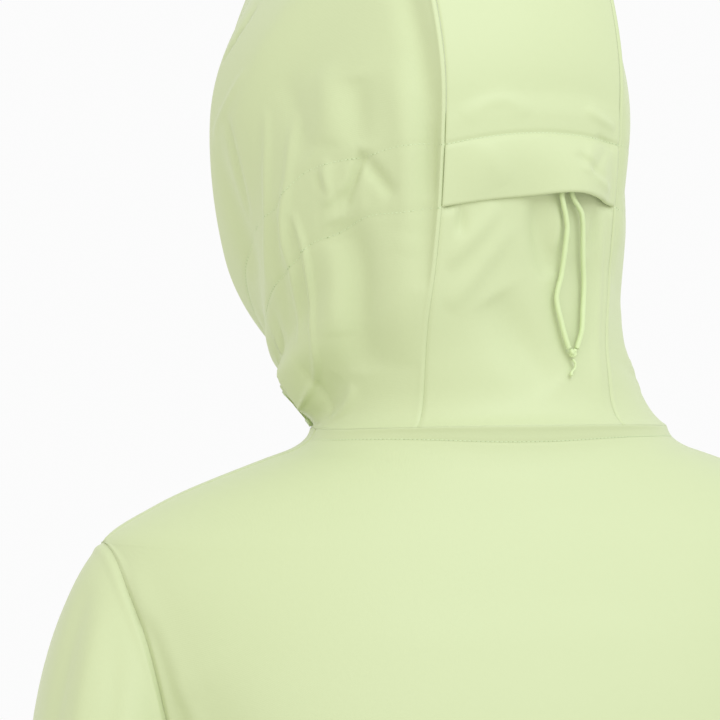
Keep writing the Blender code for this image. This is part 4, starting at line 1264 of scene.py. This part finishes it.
def hoodSideSettings(side):
    return {
        "surface": hoodPoint,
        "neck": "hood",
        "flat": hoodSideFlat,
        "folds": foldRows([row for row in hoodFolds if row[0] * side > 0]),
        "seams": [
            seam("rows", side, 0.0008, 0.0008, ridge=0.0011, ridgeAt=0.0025, ridgeWidth=0.0014, fades=True),
            seam("columns", 0.0, 0.0002, 0.001),
            seam("rows", 4.0 * side, 0.0004, 0.001),
        ],
        "lines": [
            sunkLine(channelRoute(channelTop, side), 0.0005, 0.0012),
            sunkLine(channelRoute(channelFoot, side), 0.0005, 0.0012),
        ],
        "extra": channelPuckers,
        "hemDepth": 0.020,
        "flatSize": (0.41, 0.48),
        "area": 0.079,
    }


def cordLift(across):
    near = np.exp(-(((across - flapForm["cordAt"]) / flapForm["spread"]) ** 2))
    return near * ease((1 - np.abs(across)) / 0.25)


def flapHang(share):
    return np.clip((flapForm["stitch"] - share) / (flapForm["stitch"] - flapForm["bottom"]), 0, 1)


def flapEnds(across):
    return ease((np.abs(across) - flapForm["endsFrom"]) / flapForm["endsOver"])


def flapSwell(across, share):
    # the flap is a padded-looking double band between its stitched line and its rolled edge
    hang = flapHang(share)
    return flapForm["swell"] * np.sin(np.pi * hang**0.8) * (1 - 0.8 * flapEnds(across))


def underFlap(across, share):
    # behind the flap its ends lie deeper, and past the seams it runs on under the side panels
    free = ease((1 - np.abs(across)) / flapForm["endsFree"])
    behind = ease((share - flapForm["behindFrom"]) / flapForm["behindOver"])
    ends = -flapForm["endsDeep"] * flapEnds(across) * free * behind
    return ends - (cloth["wall"] + flapForm["underGap"]) * ease((np.abs(across) - 1) / flapForm["underOver"])


def flapPoint(across, share):
    # the upper strip: its flap follows the drawcord's lift and stands off the lower strip
    across, share = np.broadcast_arrays(np.asarray(across, float), np.asarray(share, float))

    def surface(columnsOf, rowsOf):
        return hoodPoint(columnsOf, rowsOf + flapForm["lift"] * cordLift(columnsOf) * flapHang(rowsOf))

    layered = 1 - ease((share - flapForm["tuck"]) / (flapForm["smooth"] - flapForm["tuck"]))
    stand = flapForm["stand"] * cordLift(across) * flapHang(share) ** flapForm["curl"]
    lift = (cloth["wall"] + cloth["layerGap"]) * layered * (1 - 0.7 * flapEnds(across)) + stand
    return surface(across, share) + surfaceNormal(surface, across, np.minimum(share, 0.998)) * lift[..., None]


upperStrip = {
    "surface": flapPoint,
    "flat": lambda across, share: ease((1 - np.abs(across)) / 0.15),
    "folds": foldRows([
        (0.55, 0.965, 0.5, 0.7, 0.62, 0.45, 20, -1),
        (-0.5, 0.92, -0.62, 0.66, -0.45, 0.44, 22, 1),
        # gathers that the drawcord pulls into the flap
        (-0.8, 0.372, -0.66, 0.345, -0.52, 0.318, 3.4, -1.2),
        (-0.6, 0.374, -0.52, 0.35, -0.44, 0.322, 3, 1),
        (-0.36, 0.35, -0.52, 0.335, -0.74, 0.318, 2.6, -1.6),
        (-0.46, 0.336, -0.62, 0.322, -0.86, 0.312, 2.6, 1.4),
        (-0.66, 0.384, -0.82, 0.374, -0.99, 0.372, 2.2, -1.3),
        (-0.52, 0.416, -0.7, 0.406, -0.92, 0.398, 3, 1.4),
        (0.84, 0.408, 0.46, 0.424, 0.16, 0.402, 4.6, 1.3),
        (0.6, 0.372, 0.52, 0.345, 0.4, 0.315, 6, 0.8),
    ]),
    "seams": [
        seam("rows", 1.0, 0.0008, 0.001),
        seam("rows", -1.0, 0.0008, 0.001),
    ],
    "extra": flapSwell,
    "lines": [sunkLine(straightRoute(flapForm["stitch"], -1, 1, False), 0.0007, 0.0014)],
    "hemDepth": 0.020,
    "flatSize": (0.12, 0.375),
    "area": 0.043,
}
lowerStrip = {
    "surface": hoodPoint,
    "neck": "hood",
    "flat": lambda across, share: ease((1 - np.abs(across)) / 0.2) * ease(share / 0.02),
    "folds": foldRows([
        (-0.02, 0.3, -0.07, 0.25, -0.24, 0.2, 6.6, -4.2),
        (-0.22, 0.29, -0.27, 0.262, -0.25, 0.23, 2.8, 2),
        (0.92, 0.225, 0.66, 0.255, 0.42, 0.29, 5.8, 2.6),
        (0.82, 0.165, 0.56, 0.215, 0.26, 0.265, 6, 2.2),
        (0.8, 0.292, 0.79, 0.278, 0.8, 0.258, 3, -2.4),
        (0.36, 0.175, 0.04, 0.115, -0.3, 0.055, 13, -5.2),
        (-0.82, 0.285, -0.86, 0.16, -0.88, 0.035, 4.8, 2.2),
        (-0.7, 0.29, -0.72, 0.262, -0.64, 0.23, 3.2, -2.2),
    ]),
    "seams": [
        seam("rows", 1.0, 0.0008, 0.0014),
        seam("rows", -1.0, 0.0008, 0.0014),
        seam("columns", 0.0, 0.0002, 0.001),
    ],
    "lines": [],
    "extra": underFlap,
    "flatSize": (0.12, 0.175),
    "area": 0.0205,
}

mirror = np.array([-1.0, 1.0, 1.0])


def neckStitchRoute():
    across, neck, step = np.linspace(-1.93, 1.93, 90), np.full(90, bodyForm["neckHeight"]), 0.004
    down = backPoint(across, neck - step) - backPoint(across, neck)
    slope = np.linalg.norm(down, axis=-1) / step  # the shoulder's slope makes a level step longer
    return across, neck - backPiece["stitchDown"] / slope


def hemRoute(low, high, height):
    return straightRoute(height, low, high, False)


def zipRoute():
    height = np.linspace(bodyForm["hemHeight"] + 0.002, bodyForm["neckHeight"], 80)
    return np.full(80, 4 - frontPiece["zipStitch"] / (zipForm["margin"] - zipForm["halfGap"])), height


hemLine = bodyForm["hemHeight"] + backPiece["hemDepth"] - cloth["hemStitch"]
backPiece["lines"] = [
    sunkLine(neckStitchRoute, 0.0003, 0.0012),
    sunkLine(hemRoute(-2, 2, hemLine), 0.0004, 0.0013),
]
frontPiece["lines"] = [
    sunkLine(zipRoute, 0.0004, 0.0012),
    sunkLine(hemRoute(2, 3.5, hemLine), 0.0004, 0.0013),
]
cuffShare = 1 - (sleevePiece["hemDepth"] - cloth["hemStitch"]) / sleeveForm["length"]
sleevePiece["lines"] = [sunkLine(hemRoute(-1, 1, cuffShare), 0.0004, 0.0013)]


def bodyRows():
    below = list(np.linspace(bodyForm["hemHeight"] + 0.0005, bodyForm["armholeBottom"], 96)[:-1])
    beside = [armholeMiddle - armholeHalf * math.cos(math.pi * i / 52) for i in range(53)]
    near = tuple(0.0006 * i for i in range(1, 19))
    above = spread(bodyForm["armholeTop"], bodyForm["neckHeight"], 26, (), near)[1:]
    return below + beside + above


def hemRows(piece, across, edge, normals, depth, start, metres, beyond):
    # metres: one unit along the piece, under 0 where its rows run towards the hem
    inner, innerNormals = [], []
    for step in np.linspace(0.0015, depth, 6):
        along = np.full(len(across), start + step / metres)
        inner.append(clothPoint(piece, across, along))
        innerNormals.append(surfaceNormal(piece["surface"], across, along))
    return turnedHem(edge, inner, normals, innerNormals, beyond)


def bodyHem(piece, across, edge, normals):
    below = np.array([0.0, 0.0, -1.0])
    return hemRows(piece, across, edge, normals, piece["hemDepth"], bodyForm["hemHeight"], 1.0, below)


def faceHem(piece, across, main):
    # the hood's turned edge round the face, narrower towards the chin
    surface, part = piece["surface"], 0.07
    normals = gridNormals(main)[-1]
    top = np.ones(len(across))
    rowLength = np.linalg.norm(surface(across, top) - surface(across, top - part), axis=-1) / part
    beyond = unit(main[-1] - main[-3])
    beyond = unit(beyond - normals * (beyond * normals).sum(-1, keepdims=True))
    depth = np.minimum(piece["hemDepth"], 0.22 * rowLength)
    inner, innerNormals = [], []
    for step in np.linspace(0.08, 1, 6):
        along = 1 - step * depth / rowLength
        inner.append(clothPoint(piece, across, along))
        innerNormals.append(surfaceNormal(surface, across, along))
    return turnedHem(main[-1], inner, normals, innerNormals, beyond)


def inset(points, *edges):
    result = points.copy()
    ends = {"start": (1, 0, 1), "end": (1, -1, -2), "bottom": (0, 0, 1), "top": (0, -1, -2)}
    for edge in edges:
        axis, index, beside = ends[edge]
        place = [slice(None)] * 3
        place[axis] = index
        into = np.take(points, beside, axis) - np.take(points, index, axis)
        result[tuple(place)] += unit(into) * cloth["sewnApart"]
    return result


def sideWord(side):
    return "Left" if side > 0 else "Right"


def sew(name, node, grids):
    made = meshOf(name, grids, shellMaterial, backingMaterial, cloth["wall"])
    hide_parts(node)


def addBack():
    across = spread(-2, 0, 78, seamFine) + spread(0, 2, 78, (), seamFine)[1:]
    main = clothGrid(backPiece, across, bodyRows())
    hem = bodyHem(backPiece, across, main[0], gridNormals(main)[0])
    points = np.concatenate([hem[::-1], inset(main, "start", "end", "top")])
    sew("backPanel", "back", [(points, False)])


def addFront(side):
    across = spread(2, 3, 80, seamFine, (0.02, 0.05)) + spread(3, 4, 12, (), (0.04, 0.09, 0.16))[1:]
    main = clothGrid(frontPiece, across, bodyRows())
    last = sum(value <= frontPiece["hemUntil"] for value in across)
    hem = bodyHem(frontPiece, across[:last], main[0, :last], gridNormals(main)[0, :last])
    main = inset(main, "start", "top")
    grids = [main, np.concatenate([hem[::-1], main[:1, :last]])]
    if side < 0:
        grids = [points[:, ::-1] * mirror for points in grids]
    word = sideWord(side)
    sew("front" + word, "front_" + word.lower(), [(points, False) for points in grids])


def addSleeve(side):
    turns = spread(0, 2, 108, seamFine, seamFine)[:-1]
    cap = spread(0, sleeveForm["capShare"], 70, (0.0010, 0.0022, 0.0036, 0.0052, 0.0072, 0.0095, 0.013))
    rows = cap + list(np.linspace(sleeveForm["capShare"], 0.9995, 96))[1:]
    main = clothGrid(sleevePiece, turns, rows)
    normals, beyond = gridNormals(main, True)[-1], unit(main[-1] - main[-3])
    depth, length = sleevePiece["hemDepth"], sleeveForm["length"]
    hem = hemRows(sleevePiece, turns, main[-1], normals, depth, 1.0, -length, beyond)
    points = np.concatenate([inset(main, "bottom"), hem])
    if side < 0:
        points = points[:, ::-1] * mirror
    word = sideWord(side)
    sew("sleeve" + word, "sleeve_" + word.lower(), [(points, True)])


def hoodRows(start, end):
    fineStart = (0.0025, 0.006, 0.011, 0.017) if start == 0 else ()
    fineEnd = (0.002, 0.005, 0.010) if end == 1 else ()
    return spread(start, end, int(150 * (end - start)) + 2, fineStart, fineEnd)


def addHoodSide(side):
    piece = hoodSideSettings(side)
    across = spread(1, 2, 74, seamFine) + spread(2, 3, 62)[1:] + spread(3, 4, 12, (), (0.05, 0.12))[1:]
    if side < 0:
        across = [-value for value in reversed(across)]
    main = clothGrid(piece, across, hoodRows(0, 1))
    hemmed = [i for i, value in enumerate(across) if abs(value) <= 2.9]
    chosen = slice(hemmed[0], hemmed[-1] + 1)
    hem = faceHem(piece, across[chosen], main[:, chosen])
    main = inset(main, "start" if side > 0 else "end", "bottom")
    grids = [(main, False), (np.concatenate([main[-1:, chosen], hem]), False)]
    word = sideWord(side)
    sew("hoodSide" + word, "hood_side_" + word.lower(), grids)
    return piece


def addHoodStrips():
    fine = (0.010, 0.022, 0.038, 0.058, 0.085, 0.12)
    across = spread(-1, 0, 32, fine) + spread(0, 1, 32, (), fine)[1:]
    under = [-1.034, -1.024, -1.014, -1.007] + across + [1.007, 1.014, 1.024, 1.034]
    lower = inset(clothGrid(lowerStrip, under, hoodRows(0, flapForm["tuck"])), "bottom")
    sew("hoodStripLower", "hood_strip_lower", [(lower, False)])
    rows = spread(flapForm["bottom"], flapForm["smooth"], 60, (0.002,)) + hoodRows(flapForm["smooth"], 1)[1:]
    upper = clothGrid(upperStrip, across, rows)
    hem = faceHem(upperStrip, across, upper)
    beyond = unit(upper[0] - upper[3])
    turned = (flapForm["hemDepth"], flapForm["bottom"], flapForm["length"], beyond)
    roll = hemRows(upperStrip, across, upper[0], gridNormals(upper)[0], *turned)
    upper = np.concatenate([roll[::-1], inset(upper, "start", "end"), hem])
    sew("hoodStripUpper", "hood_strip_upper", [(upper, False)])


addBack()
for side in (1, -1):
    addFront(side)
print("body ready")
for side in (1, -1):
    addSleeve(side)
print("sleeves ready")
hoodSides = [addHoodSide(1), addHoodSide(-1)]
addHoodStrips()
print("hood ready")

# stitches: short rounded lengths of thread that dip into the cloth at their ends, each with a small dark disc
# at its needle hole as painted shade

stitch = {
    "pitch": 0.0025,
    "length": 0.0019,
    "radius": 0.00024,
    # the disc at each needle hole is painted shade of the hole
    "shadeDiscRadius": 0.00034,
    "shadeDiscStands": 0.00006,
    "sides": 6,
    # rings along a stitch: place in lengths, thickness and rise in radii
    "profile": (
        (-0.5, 0.45, -1.5),
        (-0.30, 0.95, 0.15),
        (0.0, 1.0, 0.45),
        (0.30, 0.95, 0.15),
        (0.5, 0.45, -1.5),
    ),
}


def evenPlaces(line, pitch):
    # middles of the stitches along a line, as its own fractional rows
    steps = np.linalg.norm(np.diff(line, axis=0), axis=1)
    travelled = np.concatenate([[0], np.cumsum(steps)])
    at = np.arange(pitch / 2, travelled[-1], pitch)
    return np.interp(at, travelled, np.arange(len(line)))


def rowsAt(line, places):
    low = np.clip(places.astype(int), 0, len(line) - 2)
    part = (places - low)[:, None]
    return line[low] * (1 - part) + line[low + 1] * part


def stitchLine(piece, route):
    # the finished surface along a route, and its outward side
    across, along = route()
    fine = np.linspace(0, len(across) - 1, 6 * len(across))
    across = np.interp(fine, np.arange(len(across)), across)
    along = np.interp(fine, np.arange(len(along)), along)
    line = clothPoint(piece, across, along)
    return line, clothPoint(piece, across, along, 0.001) - line


def addStitches(name, runs):
    sides = stitch["sides"]
    angle = np.linspace(0, 2 * math.pi, sides, endpoint=False)
    profile, radius = stitch["profile"], stitch["radius"]
    verts, faces, shadeDiscs = [], [], []
    for line, outward in runs:
        places = evenPlaces(line, stitch["pitch"])
        middles, out = rowsAt(line, places), unit(rowsAt(outward, places))
        ahead, behind = np.minimum(places + 0.5, len(line) - 1.001), np.maximum(places - 0.5, 0)
        forward = unit(rowsAt(line, ahead) - rowsAt(line, behind))
        side = unit(np.cross(forward, out))
        for k in range(len(middles)):
            start = len(verts)
            for place, thick, rise in profile:
                centre = middles[k] + forward[k] * place * stitch["length"] + out[k] * rise * radius
                for a in angle:
                    verts.append(centre + radius * thick * (side[k] * math.cos(a) + out[k] * math.sin(a)))
            for ring in range(len(profile) - 1):
                here = start + ring * sides
                for j in range(sides):
                    n = (j + 1) % sides
                    faces.append((here + j, here + sides + j, here + sides + n, here + n))
            # a flat dark disc just above the cloth between stitches: painted shade of the needle hole
            centre = middles[k] + forward[k] * stitch["pitch"] / 2 + out[k] * stitch["shadeDiscStands"]
            start = len(verts)
            for a in angle:
                reach = side[k] * math.cos(a) + forward[k] * math.sin(a)
                verts.append(centre + stitch["shadeDiscRadius"] * reach)
            shadeDiscs.append(tuple(range(start, start + sides)))
    mesh = bpy.data.meshes.new(name)
    mesh.from_pydata([tuple(v) for v in verts], [], faces + shadeDiscs)
    mesh.shade_smooth()
    mesh.materials.append(threadMaterial)
    mesh.materials.append(holeShadeMaterial)
    marks = np.zeros(len(mesh.polygons), dtype=np.int32)
    marks[len(faces):] = 1
    mesh.polygons.foreach_set("material_index", marks)
    made = linked(name, mesh)
    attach(made, "jacket")


def mirroredRun(run):
    return run[0][::-1] * mirror, run[1][::-1] * mirror


def faceRoute(side):
    def route():
        across = np.linspace(0.0, 2.85, 120) * side
        narrow = 1 - ease((np.abs(across) - 2.2) / 0.7)
        return across, 1 - 0.030 - 0.018 * narrow

    return route


def halfOf(route, low, high):
    def part():
        across, along = route()
        keep = (across >= low) & (across <= high)
        return across[keep], along[keep]

    return part


def runsOf(piece):
    return [stitchLine(piece, line["route"]) for line in piece["lines"]]


frontRuns, sleeveRuns = runsOf(frontPiece), runsOf(sleevePiece)
addStitches("bodyStitches", runsOf(backPiece) + frontRuns + [mirroredRun(run) for run in frontRuns])
addStitches("sleeveStitches", sleeveRuns + [mirroredRun(run) for run in sleeveRuns])
hoodRuns = runsOf(upperStrip)
for side, piece in zip((1, -1), hoodSides):
    hoodRuns += runsOf(piece)
    hoodRuns.append(stitchLine(piece, halfOf(faceRoute(side), *sorted((side, 3 * side)))))
    hoodRuns.append(stitchLine(upperStrip, halfOf(faceRoute(side), *sorted((0, side)))))
addStitches("hoodStitches", hoodRuns)
print("stitches ready")

# zip: two woven tapes with a bead, and interlocked teeth, closed up to the slider

zipLook = {
    "toothPitch": 0.00150,  # of one side's teeth
    "toothTall": 0.00085,
    "toothDeep": 0.0013,
    "toothMiddle": 0.0007,  # what it narrows towards
    # half a tooth: across the zip, and along it as a share of its height
    "toothHalf": [(-0.0007, 0.30), (-0.0004, 0.50), (0.0003, 0.50), (0.0008, 0.34), (0.0023, 0.38)],
    "toothLevels": ((0.0, 0.80), (-0.22, 1.0), (-0.78, 1.0), (-1.0, 0.80)),  # depth, width
    "sunk": 0.0009,
    "beadReach": (0.0008, 0.0014, 0.0022, 0.0030),
    "tapeFrom": 0.0036,
    "tapeTo": 0.0160,
    "tapeThick": 0.0007,
    "fall": 0.004,  # the fronts fall away from the centre by this much
    "fallAt": 0.03,
    "tapeUnder": 0.0024,  # below the fronts' faces
    "bead": 0.0005,
}


def zipEdges():
    # the two fronts' edges and then the hood's, from the hem up to the slider
    body = np.linspace(bodyForm["hemHeight"] + 0.001, bodyForm["neckHeight"], 260)
    share = np.linspace(0, zipForm["top"], 150)[1:]
    sides = []
    for sign in (1, -1):
        low = frontPoint(np.full(260, 4.0), body) * np.array([sign, 1.0, 1.0])
        sides.append(np.concatenate([low, hoodPoint(np.full(149, 4.0 * sign), share)]))
    return sides


def zipFrame():
    left, right = zipEdges()
    middle = (left + right) / 2
    across = unit(left - right)
    up = unit(np.gradient(middle, axis=0))
    out = unit(np.cross(across, up))
    if out[10][1] > 0:
        out = -out
    return middle, across, out


def addTapes():
    middle, across, out = zipFrame()
    for sign, name, node in ((1, "zipTapeLeft", "zip_tape_left"), (-1, "zipTapeRight", "zip_tape_right")):
        flat = np.linspace(zipLook["tapeFrom"], zipLook["tapeTo"], 8)
        reach = np.concatenate([zipLook["beadReach"], flat])
        swell = np.where(reach < zipLook["beadReach"][-1], zipLook["bead"], 0)
        grid = middle[:, None] + sign * across[:, None] * reach[None, :, None]
        bend = (reach / zipLook["fallAt"]) ** 2 * zipLook["fall"]
        grid = grid - out[:, None] * (zipLook["tapeUnder"] - swell + bend)[None, :, None]
        points = grid if sign < 0 else grid[:, ::-1]
        made = meshOf(name, [(points, False)], tapeMaterial, None, zipLook["tapeThick"])
        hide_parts(node)


def addTeeth():
    middle, across, out = zipFrame()
    tall, deep = zipLook["toothTall"], zipLook["toothDeep"]
    places = evenPlaces(middle, zipLook["toothPitch"] / 2)
    centres, acrossAt, outAt = rowsAt(middle, places), unit(rowsAt(across, places)), unit(rowsAt(out, places))
    upAt = np.cross(outAt, acrossAt)
    if upAt[5][2] < 0:
        upAt = -upAt
    # a tooth: a rounded head over the centre and a narrower shank that clasps the tape
    outline = zipLook["toothHalf"] + [(x, -y) for x, y in reversed(zipLook["toothHalf"])]
    count = len(outline)
    verts, faces = [], []
    for k in range(len(centres)):
        sign = 1 if k % 2 else -1
        start = len(verts)
        for level, narrow in zipLook["toothLevels"]:
            for x, y in outline:
                aside = x * narrow + zipLook["toothMiddle"] * (1 - narrow)
                point = centres[k] + acrossAt[k] * sign * aside + upAt[k] * y * tall * narrow
                verts.append(point + outAt[k] * (level * deep - zipLook["sunk"]))
        ring = list(range(start, start + count))
        faces.append(ring if sign < 0 else ring[::-1])
        last = [v + 3 * count for v in ring]
        faces.append(last[::-1] if sign < 0 else last)
        for level in range(3):
            for j in range(count):
                n = (j + 1) % count
                a, b = start + level * count + j, start + level * count + n
                quad = (a, a + count, b + count, b)
                faces.append(quad if sign < 0 else quad[::-1])
    mesh = bpy.data.meshes.new("zipTeeth")
    mesh.from_pydata([tuple(v) for v in verts], [], faces)
    body = bmesh.new()
    body.from_mesh(mesh)
    bmesh.ops.recalc_face_normals(body, faces=body.faces)
    body.to_mesh(mesh)
    body.free()
    mesh.materials.append(teethMaterial)
    made = linked("zipTeeth", mesh)
    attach(made, "jacket")
    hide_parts("zip_chain")


addTapes()
addTeeth()
print("zip ready")

for name in ("zip_slider", "zip_pull"):
    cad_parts[name].data.materials.clear()
    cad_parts[name].data.materials.append(metalMaterial)

print("jacket ready")
